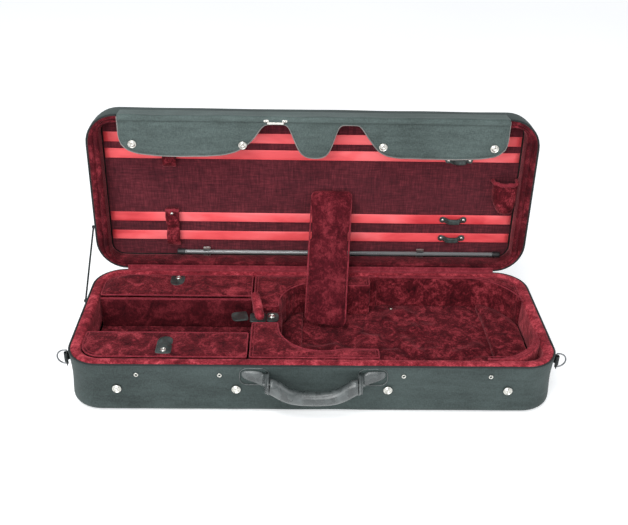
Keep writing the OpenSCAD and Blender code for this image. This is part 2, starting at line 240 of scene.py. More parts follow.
def loft(rings, closed=False, start=False, end=False):
    """Points and faces of a skin over rings that hold the same number of points."""
    n, m = len(rings[0]), len(rings)
    faces = []
    for j in range(m if closed else m - 1):
        a, b = j * n, (j + 1) % m * n
        for i in range(n):
            k = (i + 1) % n
            faces.append((a + i, a + k, b + k, b + i))
    if start:
        faces.append(tuple(reversed(range(n))))
    if end:
        faces.append(tuple(range((m - 1) * n, m * n)))
    return [p for ring in rings for p in ring], faces


def smooth_line(points, step, closed=False):
    """A round curve through points, about step apart."""
    line = np.array(points, float)
    n = len(line)
    out = []
    for i in range(n if closed else n - 1):
        if closed:
            p = [line[(i + k) % n] for k in (-1, 0, 1, 2)]
        else:
            p = [line[min(max(i + k, 0), n - 1)] for k in (-1, 0, 1, 2)]
        count = max(1, round(float(np.linalg.norm(p[2] - p[1])) / step))
        for j in range(count):
            t = j / count
            out.append(0.5 * (2 * p[1] + (p[2] - p[0]) * t
                              + (2 * p[0] - 5 * p[1] + 4 * p[2] - p[3]) * t * t
                              + (3 * p[1] - p[0] - 3 * p[2] + p[3]) * t ** 3))
    if not closed:
        out.append(line[-1])
    return np.array(out)


def grid_faces(columns, rows):
    """Faces over points that stand in columns of rows + 1 points."""
    tall = rows + 1
    return [(a, a + 1, a + tall + 1, a + tall) for i in range(columns) for a in range(i * tall,
                                                                                      i * tall + rows)]


def thicken(piece, t, offset=0):
    """Gives a sheet a thickness of t millimetres, centred on it unless offset says -1 or 1."""
    layer = piece.modifiers.new("thickness", "SOLIDIFY")
    layer.thickness = t * MM
    layer.offset = offset
    return piece


def circle_section(r, n=10):
    return [(r * math.cos(2 * math.pi * i / n), r * math.sin(2 * math.pi * i / n)) for i in range(n)]


def strap_section(w, t, n=4):
    """A flat section with round edges: w across and t thick."""
    r = t / 2
    points = []
    for side in (1, -1):
        for i in range(n + 1):
            a = math.radians(-90 + 180 * i / n)
            points.append((side * (w / 2 - r + r * math.cos(a)), side * r * math.sin(a)))
        for i in (1, 2, 3):
            points.append((side * (w / 2 - r) * (1 - i / 2), side * r))
    return points


def sweep(name, path, section, side=None, closed=False, scale=None, place=None):
    """A section carried along a path. side is the way that the section's first number points."""
    path = np.array(path, float)
    n = len(path)
    if closed:
        ahead = np.roll(path, -1, 0) - np.roll(path, 1, 0)
    else:
        ahead = np.gradient(path, axis=0)
    ahead /= np.maximum(np.linalg.norm(ahead, axis=1), 1e-9)[:, None]
    across = np.array(side if side is not None else (0.0, 0.0, 1.0))
    if side is None and abs(ahead[0] @ across) > 0.9:
        across = np.array((1.0, 0.0, 0.0))
    rings = []
    for i in range(n):
        a = across - ahead[i] * (across @ ahead[i])
        a /= np.linalg.norm(a)
        if side is None:
            across = a
        b = np.cross(ahead[i], a)
        grow = scale(i / (n - 1)) if scale else (1.0, 1.0)
        rings.append([path[i] + a * p * grow[0] + b * q * grow[1] for p, q in section])
    points, faces = loft(rings, closed, not closed, not closed)
    return add_mesh(name, points, faces, place)


def tube(name, path, r, closed=False, place=None, n=10):
    return sweep(name, path, circle_section(r, n), closed=closed, place=place)


def lathe(name, profile, place, n=40):
    """A profile of (radius, height) turned round the place's Z axis."""
    rings = []
    for r, h in profile:
        rings.append([(r * math.cos(2 * math.pi * i / n), r * math.sin(2 * math.pi * i / n), h)
                      for i in range(n)])
    points, faces = loft(rings, False, True, True)
    return add_mesh(name, points, faces, place)


def facing_front(x, y, z):
    """The place of a cap on a face that looks towards -Y."""
    return Matrix.Translation((x, y, z)) @ Matrix.Rotation(math.radians(90), 4, "X")


def on_lid(x, t, s):
    return LID @ facing_front(x, t, s)


def facing_lid(t):
    """Turns a flat piece drawn in x and y to lie in the lid's x and height, t behind the rim."""
    return LID @ Matrix.Translation((0, t, 0)) @ Matrix.Rotation(math.radians(90), 4, "X")


def lid_points(plan, t):
    """An outline of x and height at depth t behind the lid's rim."""
    return [(x, t, s) for x, s in plan]


# ---------------------------------------------------------------- soft pieces

SIMULATED = []


def node_copy(node, name):
    """A new mesh object with a node's shape."""
    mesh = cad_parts[node].data.copy()
    mesh.materials.clear()
    piece = bpy.data.objects.new(name, mesh)
    SCENE.collection.objects.link(piece)
    return piece


def remesh(piece, voxel=4.0, relax=4):
    """Turns a closed mesh into even small quads with softened edges."""
    even = piece.modifiers.new("even", "REMESH")
    even.mode = "VOXEL"
    even.voxel_size = voxel * MM
    if relax:
        soft = piece.modifiers.new("soft", "SMOOTH")
        soft.factor = 0.5
        soft.iterations = relax
    return bake(piece)


def swell(piece, cap, pressure=4.0):
    """Sets a piece up to be blown up as cloth; run_cloth() does it, and moves no point by more than cap."""
    SIMULATED.append((piece, cap * MM, places(piece)))
    settings = piece.modifiers.new("cloth", "CLOTH").settings
    settings.quality = 4
    settings.use_pressure = True
    settings.uniform_pressure_force = pressure
    settings.effector_weights.gravity = 0
    return piece


def pucker(piece, cap, spare, hold):
    """Sets a sheet up as cloth that is spare longer than its frame, held at the points of group hold."""
    SIMULATED.append((piece, cap * MM, places(piece)))
    settings = piece.modifiers.new("cloth", "CLOTH").settings
    settings.quality = 5
    settings.vertex_group_mass = hold
    settings.shrink_min = -spare
    settings.bending_stiffness = 0.08
    settings.effector_weights.gravity = 0
    return piece


def run_cloth():
    """Steps every cloth at once, keeps the result and lets no point move further than its cap."""
    for number in range(1, 21):
        SCENE.frame_set(number)
    for piece, cap, rest in SIMULATED:
        bake(piece)
        moved = places(piece) - rest
        far = np.linalg.norm(moved, axis=1)
        moved *= np.minimum(1.0, cap / np.maximum(far, 1e-9))[:, None]
        put_back(piece, rest + moved)
    SCENE.frame_set(1)


# ---------------------------------------------------------------- materials

class Nodes:
    """A short way to write a material's nodes."""

    def __init__(self, name):
        self.material = bpy.data.materials.new(name)
        self.material.use_nodes = True
        self.tree = self.material.node_tree
        self.shader = self.tree.nodes["Principled BSDF"]
        self.place = self.add("ShaderNodeTexCoord").outputs["Object"]

    def add(self, kind, **values):
        node = self.tree.nodes.new(kind)
        for key, value in values.items():
            setattr(node, key, value)
        return node

    def link(self, source, target):
        self.tree.links.new(source, target)

    def noise(self, size, detail=4.0, rough=0.55, twist=0.0, stretch=(1, 1, 1)):
        """Noise with patches about size millimetres across."""
        mapping = self.add("ShaderNodeMapping")
        mapping.inputs["Scale"].default_value = stretch
        self.link(self.place, mapping.inputs["Vector"])
        node = self.add("ShaderNodeTexNoise")
        node.inputs["Scale"].default_value = 1 / (size * MM)
        node.inputs["Detail"].default_value = detail
        node.inputs["Roughness"].default_value = rough
        node.inputs["Distortion"].default_value = twist
        self.link(mapping.outputs["Vector"], node.inputs["Vector"])
        return node.outputs["Fac"]

    def threads(self, axis, pitch, twist=0.0):
        """Even waves along an axis, pitch millimetres apart."""
        node = self.add("ShaderNodeTexWave", bands_direction=axis)
        node.inputs["Scale"].default_value = 2 * math.pi / (20 * pitch * MM)
        node.inputs["Distortion"].default_value = twist
        self.link(self.place, node.inputs["Vector"])
        return node.outputs["Fac"]

    def math(self, operation, a, b):
        node = self.add("ShaderNodeMath", operation=operation)
        for socket, value in zip(node.inputs, (a, b)):
            if isinstance(value, (int, float)):
                socket.default_value = value
            else:
                self.link(value, socket)
        return node.outputs[0]

    def ramp(self, value, *stops):
        """Colours at places from 0 to 1."""
        node = self.add("ShaderNodeValToRGB")
        elements = node.color_ramp.elements
        for _ in stops[2:]:
            elements.new(0.5)
        for element, (at, colour) in zip(elements, stops):
            element.position = at
            element.color = (*colour, 1)
        self.link(value, node.inputs["Fac"])
        return node.outputs["Color"]

    def spread(self, value, low, high):
        """Turns 0..1 into low..high."""
        node = self.add("ShaderNodeMapRange")
        node.inputs["To Min"].default_value = low
        node.inputs["To Max"].default_value = high
        self.link(value, node.inputs["Value"])
        return node.outputs["Result"]

    def bump(self, height, depth, strength=1.0, under=None):
        """A bump of depth millimetres."""
        node = self.add("ShaderNodeBump")
        node.inputs["Distance"].default_value = depth * MM
        node.inputs["Strength"].default_value = strength
        self.link(height, node.inputs["Height"])
        if under is not None:
            self.link(under, node.inputs["Normal"])
        return node.outputs["Normal"]

    def finish(self, colour, rough, normal=None, **sockets):
        """Links the shader's colour, roughness and normal, and sets its other sockets."""
        self.link(colour, self.shader.inputs["Base Color"])
        if isinstance(rough, (int, float)):
            self.shader.inputs["Roughness"].default_value = rough
        else:
            self.link(rough, self.shader.inputs["Roughness"])
        if normal is not None:
            self.link(normal, self.shader.inputs["Normal"])
        for name, value in sockets.items():
            self.shader.inputs[name.replace("_", " ")].default_value = value
        return self.material


def velvet(name, dark, middle, light, patch=26.0, contrast=0.16, stretch=(1, 1, 1)):
    """Velvet whose pile lies this way and that, so that it is blotched light and dark."""
    n = Nodes(name)
    blotch = n.noise(patch, 5, 0.62, 0.8, stretch)
    brushed = n.noise(patch * 0.35, 4, 0.6, 1.6)
    pile = n.noise(1.3, 2, 0.6)
    crush = n.noise(4.5, 3, 0.65, 0.6, (1.6, 1.6, 0.7))
    lay = n.math("ADD", n.math("MULTIPLY", blotch, 0.52),
                 n.math("ADD", n.math("MULTIPLY", brushed, 0.26), n.math("MULTIPLY", crush, 0.22)))
    value = n.math("ADD", lay, n.math("MULTIPLY", n.math("SUBTRACT", pile, 0.5), 0.22))
    colour = n.ramp(value, (0.5 - contrast, dark), (0.5, middle), (0.5 + contrast, light))
    normal = n.bump(pile, 0.5, 0.5, n.bump(crush, 1.2, 0.6, n.bump(brushed, 1.6, 0.6)))
    return n.finish(colour, n.spread(brushed, 0.75, 1.0), normal, Sheen_Weight=0.30,
                    Sheen_Roughness=0.36, Sheen_Tint=(1.0, 0.30, 0.34, 1), Specular_IOR_Level=0.10)


def woven(name, dark, light, pitch, depth, rough=0.75, sheen=0.25):
    """Plain woven nylon: a fine grain drawn out along X, thin slubs and slow rubbed patches."""
    n = Nodes(name)
    level = n.noise(pitch, 2, 0.5, 0.0, (0.25, 1, 1))
    upright = n.noise(pitch, 2, 0.5, 0.0, (1, 0.4, 0.25))
    weave = n.math("MULTIPLY", n.math("ADD", level, upright), 0.5)
    slub = n.noise(9.0, 4, 0.6, 0.2, (0.2, 1, 1))
    wear = n.noise(120.0, 3, 0.5)
    value = n.math("ADD", n.math("MULTIPLY", weave, 0.45),
                   n.math("ADD", n.math("MULTIPLY", slub, 0.25), n.math("MULTIPLY", wear, 0.30)))
    colour = n.ramp(value, (0.36, dark), (0.64, light))
    normal = n.bump(weave, depth, 0.6, n.bump(slub, 0.3, 0.25))
    return n.finish(colour, n.spread(slub, rough - 0.08, rough + 0.1), normal, Sheen_Weight=sheen,
                    Sheen_Roughness=0.5, Sheen_Tint=(0.85, 0.95, 0.93, 1), Specular_IOR_Level=0.3)


def panel_weave():
    """The open coarse weave on the lid's panel, dark red with darker and lighter threads."""
    n = Nodes("panel_weave")
    upright = n.noise(2.6, 3, 0.6, 0.0, (1, 1, 0.12))
    level = n.noise(2.6, 3, 0.6, 0.0, (0.12, 1, 1))
    grid = n.math("ADD", n.threads("X", 1.8, 0.6), n.threads("Z", 1.8, 0.6))
    tone = n.noise(60.0, 3, 0.5)
    value = n.math("ADD", n.math("MULTIPLY", n.math("ADD", upright, level), 0.36),
                   n.math("ADD", n.math("MULTIPLY", grid, 0.07), n.math("MULTIPLY", tone, 0.14)))
    colour = n.ramp(value, (0.34, (0.030, 0.004, 0.008)), (0.5, (0.085, 0.010, 0.017)),
                    (0.68, (0.205, 0.030, 0.042)))
    normal = n.bump(n.math("ADD", grid, n.math("ADD", upright, level)), 0.6, 0.6)
    return n.finish(colour, 0.92, normal, Sheen_Weight=0.15, Sheen_Roughness=0.5,
                    Specular_IOR_Level=0.15)


def satin():
    """Ribbon with fine ribs across it and a broad gloss."""
    n = Nodes("ribbon_satin")
    ribs = n.threads("X", 0.9)
    tone = n.noise(120.0, 3, 0.5, 0.4, (1, 1, 3))
    colour = n.ramp(tone, (0.32, (0.60, 0.038, 0.048)), (0.52, (0.84, 0.090, 0.102)),
                    (0.70, (0.95, 0.165, 0.178)))
    normal = n.bump(ribs, 0.12, 0.4, n.bump(tone, 1.5, 0.25))
    return n.finish(colour, n.spread(tone, 0.34, 0.5), normal, Sheen_Weight=0.2,
                    Sheen_Roughness=0.4, Sheen_Tint=(1.0, 0.6, 0.6, 1), Specular_IOR_Level=0.45)


def grained(name, dark, light, grain, rough, specular=0.45):
    """Leather or leather-grained plastic: fine cells, creases and rubbed patches."""
    n = Nodes(name)
    cells = n.add("ShaderNodeTexVoronoi", feature="DISTANCE_TO_EDGE")
    cells.inputs["Scale"].default_value = 1 / (grain * MM)
    n.link(n.place, cells.inputs["Vector"])
    cell = cells.outputs["Distance"]
    rub = n.noise(22.0, 4, 0.6, 0.5)
    colour = n.ramp(n.math("ADD", n.math("MULTIPLY", rub, 0.85), n.math("MULTIPLY", cell, 0.3)),
                    (0.35, dark), (0.75, light))
    normal = n.bump(cell, 0.25, 0.45, n.bump(rub, 0.6, 0.25))
    return n.finish(colour, n.spread(rub, rough - 0.08, rough + 0.1), normal,
                    Specular_IOR_Level=specular, Coat_Weight=0.08, Coat_Roughness=0.35)


def metal(name, dark, light, rough):
    """Nickel plate, a little uneven, with fine wear."""
    n = Nodes(name)
    haze = n.noise(3.0, 4, 0.6)
    colour = n.ramp(haze, (0.3, dark), (0.7, light))
    return n.finish(colour, n.spread(haze, rough - 0.06, rough + 0.1), n.bump(haze, 0.05, 0.3),
                    Metallic=1.0)


def clear_plastic():
    """Smoky clear tube whose polish runs along it."""
    n = Nodes("clear_plastic")
    haze = n.noise(30.0, 3, 0.5, 0.0, (0.08, 1, 1))
    colour = n.ramp(haze, (0.35, (0.20, 0.21, 0.215)), (0.65, (0.42, 0.435, 0.44)))
    return n.finish(colour, n.spread(haze, 0.05, 0.12), n.bump(haze, 0.05, 0.1),
                    Transmission_Weight=0.55, IOR=1.46, Coat_Weight=0.6, Coat_Roughness=0.05)


def pale_floor():
    n = Nodes("pale_floor")
    tone = n.noise(900.0, 2, 0.5)
    colour = n.ramp(tone, (0.3, (0.90, 0.91, 0.92)), (0.7, (0.93, 0.94, 0.945)))
    return n.finish(colour, 0.8, Specular_IOR_Level=0.15, Emission_Color=(1, 1, 1, 1), Emission_Strength=0.34)


CLOTH = woven("outer_cloth", (0.013, 0.020, 0.019), (0.056, 0.077, 0.074), 1.1, 0.25, 0.78, 0.06)
# The next cloth is the outer cloth again, only lighter: painted light on the hanging flap and the band over
# its top, which face the lamps.
LIT_FLAP_CLOTH = woven("flap_cloth", (0.020, 0.031, 0.029), (0.094, 0.130, 0.123), 1.1, 0.22, 0.66, 0.10)
TAPE = woven("black_tape", (0.006, 0.008, 0.009), (0.022, 0.027, 0.028), 0.9, 0.2, 0.8, 0.1)
EDGE_TRIM = woven("flap_piping", (0.09, 0.085, 0.08), (0.30, 0.27, 0.26), 0.8, 0.15, 0.8, 0.2)
# The next velvet is the lining velvet made lighter: painted highlight on the top-facing rims, the tail wall
# and the neck cradle bar, where the top light falls.
LIT_RIM_VELVET = velvet("rim_velvet", (0.080, 0.007, 0.011), (0.240, 0.022, 0.033), (0.60, 0.085, 0.108), 28,
                    0.12)
# The next velvet is the lining velvet made darker: painted shade on the lid's upright rim, which faces away
# from the top light.
SHADED_LID_VELVET = velvet("lid_rim_velvet", (0.024, 0.002, 0.004), (0.072, 0.006, 0.010), (0.210, 0.024, 0.034),
                    28, 0.12)
BLOCK_VELVET = velvet("block_velvet", (0.026, 0.002, 0.004), (0.098, 0.008, 0.013), (0.340, 0.042, 0.056),
                      26, 0.12)
FLOOR_VELVET = velvet("floor_velvet", (0.024, 0.002, 0.004), (0.092, 0.008, 0.013), (0.340, 0.042, 0.056),
                      22, 0.12)
# The next velvet is the lining velvet made darker: painted shade on the upright walls, the dividers and the
# neck channel pad.
SHADED_WALL_VELVET = velvet("wall_velvet", (0.026, 0.002, 0.004), (0.072, 0.006, 0.010), (0.185, 0.021, 0.030), 28,
                     0.13)
# The next velvet is the lining velvet made darker: painted shade on the loose pad, which stands nearly
# upright against the lid.
SHADED_PAD_VELVET = velvet("pad_velvet", (0.026, 0.002, 0.004), (0.078, 0.006, 0.011), (0.230, 0.027, 0.038), 36,
                    0.13)
# The next velvet is the lining velvet made lighter: painted highlight on piping, rolled lips and the hinge
# velvet, whose ridges catch the light.
LIT_SEAM_VELVET = velvet("seam_velvet", (0.110, 0.011, 0.018), (0.210, 0.023, 0.034), (0.360, 0.052, 0.070), 12,
                     0.18)
PANEL = panel_weave()
SATIN = satin()
LEATHER = grained("black_leather", (0.012, 0.018, 0.017), (0.078, 0.108, 0.102), 1.1, 0.42)
GRIP = grained("handle_plastic", (0.024, 0.030, 0.030), (0.110, 0.126, 0.125), 0.9, 0.27, 0.8)
METAL = metal("snap_metal", (0.46, 0.45, 0.41), (0.80, 0.79, 0.74), 0.26)
RING_METAL = metal("ring_metal", (0.10, 0.105, 0.11), (0.30, 0.31, 0.32), 0.30)
PLASTIC = grained("black_plastic", (0.008, 0.009, 0.010), (0.030, 0.034, 0.036), 0.7, 0.4)
CLEAR = clear_plastic()


# ---------------------------------------------------------------- lines taken from the frame

def top_line(node):
    """The outline of a node's top face, in order, as (x, y) in millimetres."""
    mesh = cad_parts[node].data
    top = box_mm(node)[1].z
    uses, at = {}, {}
    for face in mesh.polygons:
        keys = []
        for index in face.vertices:
            co = mesh.vertices[index].co / MM
            key = (round(co.x, 2), round(co.y, 2))
            keys.append(key)
            at[key] = co.z
        if face.normal.z > 0.99 and all(at[key] > top - 0.1 for key in keys):
            for a, b in zip(keys, keys[1:] + keys[:1]):
                pair = (a, b) if a < b else (b, a)
                uses[pair] = uses.get(pair, 0) + 1
    joins = {}
    for (a, b), count in uses.items():
        if count == 1 and a != b:
            joins.setdefault(a, []).append(b)
            joins.setdefault(b, []).append(a)
    line = [min(joins)]
    while True:
        following = [k for k in joins[line[-1]] if k not in line[-2:] and k != line[0]]
        if not following or following[0] in line:
            break
        line.append(following[0])
    return even_line(line, 3.0)


def even_line(line, step):
    """A closed line again, with points about step apart and its corners a little softened."""
    line = np.array(line, float)
    closed = np.vstack([line, line[:1]])
    along = np.concatenate([[0], np.cumsum(np.linalg.norm(np.diff(closed, axis=0), axis=1))])
    at = np.linspace(0, along[-1], max(12, int(along[-1] / step)), endpoint=False)
    out = np.stack([np.interp(at, along, closed[:, k]) for k in range(closed.shape[1])], axis=1)
    for _ in range(2):
        out = (np.roll(out, 1, 0) + 2 * out + np.roll(out, -1, 0)) / 4
    return out


def drawn_in(line, inset):
    """A closed flat line moved inwards."""
    ahead = np.roll(line, -1, 0) - np.roll(line, 1, 0)
    ahead /= np.maximum(np.linalg.norm(ahead, axis=1), 1e-9)[:, None]
    area = np.sum(line[:, 0] * np.roll(line[:, 1], -1) - np.roll(line[:, 0], -1) * line[:, 1])
    side = 1 if area > 0 else -1
    return line + np.stack([-ahead[:, 1], ahead[:, 0]], axis=1) * side * inset


def at_height(line, z):
    return np.column_stack([line, np.full(len(line), z)])


def plate(name, line, z0, z1, edge, place=None):
    """A flat piece with a rounded rim."""
    steps = ((1.0, 0.0), (0.35, 0.18), (0.0, 1.0))
    rings = [at_height(drawn_in(line, edge * a), z0 + edge * b) for a, b in steps]
    rings += [at_height(drawn_in(line, edge * a), z1 - edge * b) for a, b in reversed(steps)]
    rings.append(at_height(drawn_in(line, edge * 2.2), z1))
    points, faces = loft([[tuple(p) for p in ring] for ring in rings], False, True, True)
    return add_mesh(name, points, faces, place)


def stitches(name, line, pitch=3.2, place=None, closed=True, size=(1.9, 0.55, 0.45)):
    """A row of short thread stitches along a line, as one mesh."""
    line = np.array(line, float)
    if closed:
        line = np.vstack([line, line[:1]])
    along = np.concatenate([[0], np.cumsum(np.linalg.norm(np.diff(line, axis=0), axis=1))])
    points, faces = [], []
    count = int(along[-1] / pitch)
    for i in range(count):
        at = [np.array([np.interp((i + k) * pitch, along, line[:, j]) for j in range(3)]) for k in (0.2, 0.8)]
        middle, ahead = (at[0] + at[1]) / 2, at[1] - at[0]
        ahead /= max(np.linalg.norm(ahead), 1e-9)
        across = np.cross(ahead, (0, 0, 1) if abs(ahead[2]) < 0.9 else (1, 0, 0))
        across /= np.linalg.norm(across)
        up = np.cross(across, ahead)
        first = len(points)
        for k, wide in ((-1, 0.3), (-0.6, 1), (0.6, 1), (1, 0.3)):
            for a, b in ((-1, 0), (0, 1), (1, 0), (0, -1)):
                points.append(middle + ahead * size[0] / 2 * k + across * a * size[1] / 2 * wide
                              + up * b * size[2] / 2 * wide)
        for j in range(3):
            for m in range(4):
                a, b = first + 4 * j + m, first + 4 * j + (m + 1) % 4
                faces.append((a, b, b + 4, a + 4))
        faces += [(first + 3, first + 2, first + 1, first), tuple(first + 12 + m for m in range(4))]
    return add_mesh(name, points, faces, place)


# ---------------------------------------------------------------- base

def make_base_shell():
    """Cloth-covered shell: round lower edge, walls a little hollow at mid height."""
    rim, edge, wall = BASE_H - 3.4, 10.0, 6.0
    rings = [case_plan(70), case_plan(25)]
    heights = [0.4, 0.0]
    for i in range(7):
        a = math.radians(15 * i)
        rings.append(case_plan(edge * (1 - math.sin(a))))
        heights.append(edge * (1 - math.cos(a)))
    for i in range(1, 15):
        z = edge + (rim - edge) * i / 15
        rings.append(case_plan(1.9 * math.sin(math.pi * i / 15) ** 1.5))
        heights.append(z)
    for inset, drop in ((0.0, 1.0), (0.5, 0.2), (wall, 0.0), (wall, 45.0)):
        rings.append(case_plan(inset))
        heights.append(rim - drop)
    points, faces = loft([[(x, y, z) for x, y in ring] for ring, z in zip(rings, heights)], False, True)
    shell = ruffle(add_mesh("base_cloth", points, faces), 0.5, 70)
    settle(shell, CLOTH, "base", "outer_cloth", "base_shell")
    tape = tube("rim_tape", at_height(np.array(case_plan(0.7)), BASE_H - 2.6), 1.6, True)
    settle(tape, TAPE, "base", "black_leather", "base_piping")


def rim_profile(outer, inner, top, foot, back):
    """(inset, height) pairs round a padded rim band."""
    width = inner - outer
    crown = ((0.0, -3.4), (0.02, -1.6), (0.12, -0.4), (0.3, 0.0), (0.55, -0.1), (0.78, -0.9), (0.93, -2.6),
             (1.0, -5.0), (1.01, -10.0), (1.0, -22.0), (1.0, -45.0))
    pairs = [(outer + width * a, top + b) for a, b in crown if top + b > foot]
    return pairs + [(inner, foot), (back, foot), (back, top - 4.5)]


def make_base_lining():
    """Padded velvet band round the base's rim, down to the floor inside."""
    pairs = rim_profile(2.4, 20.0, BASE_H + 0.2, FLOOR_Z, 6.2)
    rings = [[(x, y, z) for x, y in case_plan(inset)] for inset, z in pairs]
    points, faces = loft(rings, True)
    band = ruffle(add_mesh("base_rim_padding", points, faces), 0.7, 22)
    settle(subdivide(band), LIT_RIM_VELVET, "base", "lining_velvet", "wall_lining")


def make_floor():
    """The well's quilted floor: one sheet of velvet that puckers between its seams."""
    x0, x1, y0, y1, step = -379.6, 379.6, -129.6, 129.6, 5.0
    nx, ny = round((x1 - x0) / step), round((y1 - y0) / step)
    points = []
    for j in range(ny + 1):
        for i in range(nx + 1):
            x, y = x0 + (x1 - x0) * i / nx, y0 + (y1 - y0) * j / ny
            cx, cy = max(abs(x) - 344.6, 0), max(abs(y) - 94.6, 0)
            far = math.hypot(cx, cy)
            if far > 35:
                x = math.copysign(344.6 + cx * 35 / far, x)
                y = math.copysign(94.6 + cy * 35 / far, y)
            points.append((x, y, FLOOR_Z + 0.8))
    floor = add_mesh("well_velvet", points, grid_faces(ny, nx))
    hold = floor.vertex_groups.new(name="hold")
    held = []
    for v in floor.data.vertices:
        x, y = v.co.x / MM, v.co.y / MM
        seam = min(abs(x - at) for at in FLOOR_SEAMS) < 3
        if x < -50 or x > 372 or abs(y) > 124 or seam:
            held.append(v.index)
    hold.add(held, 1.0, "REPLACE")
    ruffle(floor, 1.6, 38, 3.0)
    return pucker(floor, 4.5, 0.045, "hold")


def end_floor(floor):
    co = places(floor)
    co[:, 2] = np.clip(co[:, 2], (FLOOR_Z + 0.2) * MM, (FLOOR_Z + 6) * MM)
    seam = np.exp(-((co[:, 0] / MM - FLOOR_SEAMS[0]) / 3.0) ** 2)
    co[:, 2] -= seam * 0.8 * MM
    put_back(floor, co)
    subdivide(thicken(floor, 1.2, -1))
    settle(floor, FLOOR_VELVET, "base", "lining_velvet", "well_floor")


def start_block(node, name, cap=1.0, voxel=3.0):
    """A foam piece covered in velvet, from its own node's shape."""
    return swell(remesh(node_copy(node, name), voxel, 5), cap, 3.0)


def end_block(piece, node, material, body="base", fill=0.9, depth=0.8):
    subdivide(piece)
    ruffle(piece, depth, 24, 1.7)
    settle(piece, material, body, "lining_velvet", node)


def edge_piping(name, node, body, inset=1.6, drop=0.7, r=1.25, second=6.5):
    """Piping sewn along the top edge of a padded piece, with a second finer seam inside it."""
    line = top_line(node)
    top = box_mm(node)[1].z
    cord = tube(name + "_piping", at_height(drawn_in(line, inset), top - drop), r, True)
    settle(cord, LIT_SEAM_VELVET, body, "lining_velvet")
    if second:
        fine = tube(name + "_seam", at_height(drawn_in(line, second), top + 0.1), r * 0.4, True, n=8)
        settle(fine, LIT_SEAM_VELVET, body, "lining_velvet")


def leather_patch(name, node, body):
    """A flat leather piece with a rounded rim and a row of stitches."""
    line = top_line(node)
    low, high = box_mm(node)
    piece = plate(name, line, low.z, high.z, 0.7)
    settle(piece, LEATHER, body, "black_leather", node)
    row = stitches(name + "_stitches", at_height(drawn_in(line, 2.4), high.z + 0.05), 2.6)
    settle(row, TAPE, body, "black_leather")


def snap_profile(d, h):
    """A press stud's cap: flat rim, groove and domed middle."""
    r = d / 2
    return ((r * 0.9, 0), (r, 0.15 * h), (r, 0.5 * h), (r * 0.94, 0.75 * h), (r * 0.86, 0.72 * h),
            (r * 0.80, 0.40 * h), (r * 0.70, 0.42 * h), (r * 0.62, 0.78 * h), (r * 0.45, 0.98 * h),
            (r * 0.30, h), (r * 0.24, 0.7 * h), (r * 0.06, 0.66 * h))


def flat_snap(name, node, body):
    low, high = box_mm(node)
    middle = (low + high) / 2
    place = Matrix.Translation((middle.x, middle.y, low.z))
    cap = lathe(name, snap_profile(high.x - low.x, high.z - low.z), place)
    settle(cap, METAL, body, "snap_metal", node)


def make_studs():
    low, high = box_mm("snap_studs")
    d, z = high.z - low.z, (high.z + low.z) / 2
    caps = [lathe("cap", snap_profile(d, 3.0), facing_front(x, -HALF_D + 0.6, z)) for x in STUD_X]
    settle(join("press_studs", caps), METAL, "base", "snap_metal", "snap_studs")
    low, high = box_mm("eyelets")
    z = (high.z + low.z) / 2
    rings = []
    for x in (low.x + 3.75, *EYELET_X, high.x - 3.75):
        circle = [(x + p, -HALF_D - 0.2, z + q) for p, q in circle_section(2.75, 28)]
        rings.append(tube("ring", circle, 1.0, True, n=10))
    settle(join("small_eyelets", rings), METAL, "base", "snap_metal", "eyelets")


def boot_ring(x, depth, low, high, n=20):
    """One cross-section of a handle boot, from the case's face outwards."""
    middle, half = (low + high) / 2, (high - low) / 2
    points = []
    for i in range(n + 1):
        a = math.radians(-90 + 180 * i / n)
        points.append((x, -HALF_D + 0.8 - depth * math.cos(a) ** 0.7 - 0.2, middle + half * math.sin(a)))
    return points


def make_boot(side):
    """Moulded boot that tapers from the grip to a low round end, with two ferrule rings."""
    stations = ((116, 0.8, 74, 80), (114.5, 3.0, 70.5, 83), (109, 5.2, 66.5, 84.5), (101, 6.2, 63, 85),
                (93, 6.6, 60, 84.5), (87, 6.8, 56.5, 83.8), (83, 6.9, 54, 82), (81.2, 8.5, 52.8, 79),
                (79.3, 19, 51.5, 80), (76.5, 29, 50.2, 81.5), (73.5, 32.5, 49.8, 82.4),
                (70.6, 32.5, 50, 82.4))
    rings = [boot_ring(side * x, *rest) for x, *rest in stations]
    points, faces = loft(rings, False, True, True)
    boot = subdivide(add_mesh("boot", points, faces))
    extra = []
    for x, depth in ((76.8, 29.0), (71.8, 32.4)):
        line = even_line(boot_ring(side * x, depth, 50.0, 81.8), 2.5)
        extra.append(tube("ferrule", line, 0.8, True, n=8))
    outline = [(side * x, -HALF_D - 0.3, z) for x, z in round_plan(72, 119, 56, 88, 12, 8, 10, 6)]
    extra.append(tube("groove", outline, 0.8, True, n=8))
    name = "right" if side > 0 else "left"
    settle(join("handle_boot_" + name, [boot] + extra), GRIP, "base", "handle_plastic",
           "handle_mount_" + name)


def make_grip():
    """Padded grip: thick where it enters the boots, slimmer and level in the middle."""
    y = (PIN[0].y + PIN[1].y) / 2
    half = ((70.0, 68.6), (67.5, 68.4), (62.5, 66.0), (55, 60.5), (46, 54), (36, 49), (24, 46), (12, 45))
    points = [(-x, y, z) for x, z in half] + [(0, y, 44.6)] + [(x, y, z) for x, z in reversed(half)]
    line = smooth_line(points, 3)

    def thick(t):
        end = abs(2 * t - 1)
        return (0.86, 1 + 0.17 * end ** 1.8)

    grip = sweep("grip", line, circle_section(12.0, 24), side=(0, 1, 0), scale=thick)
    seam = tube("seam", [(p[0], p[1] + 3.5, p[2] - 11.2 - 1.6 * abs(2 * i / (len(line) - 1) - 1) ** 2)
                         for i, p in enumerate(line)][3:-3], 0.7, n=8)
    settle(join("handle_padded_grip", [grip, seam]), GRIP, "handle", "handle_plastic", "handle_grip")


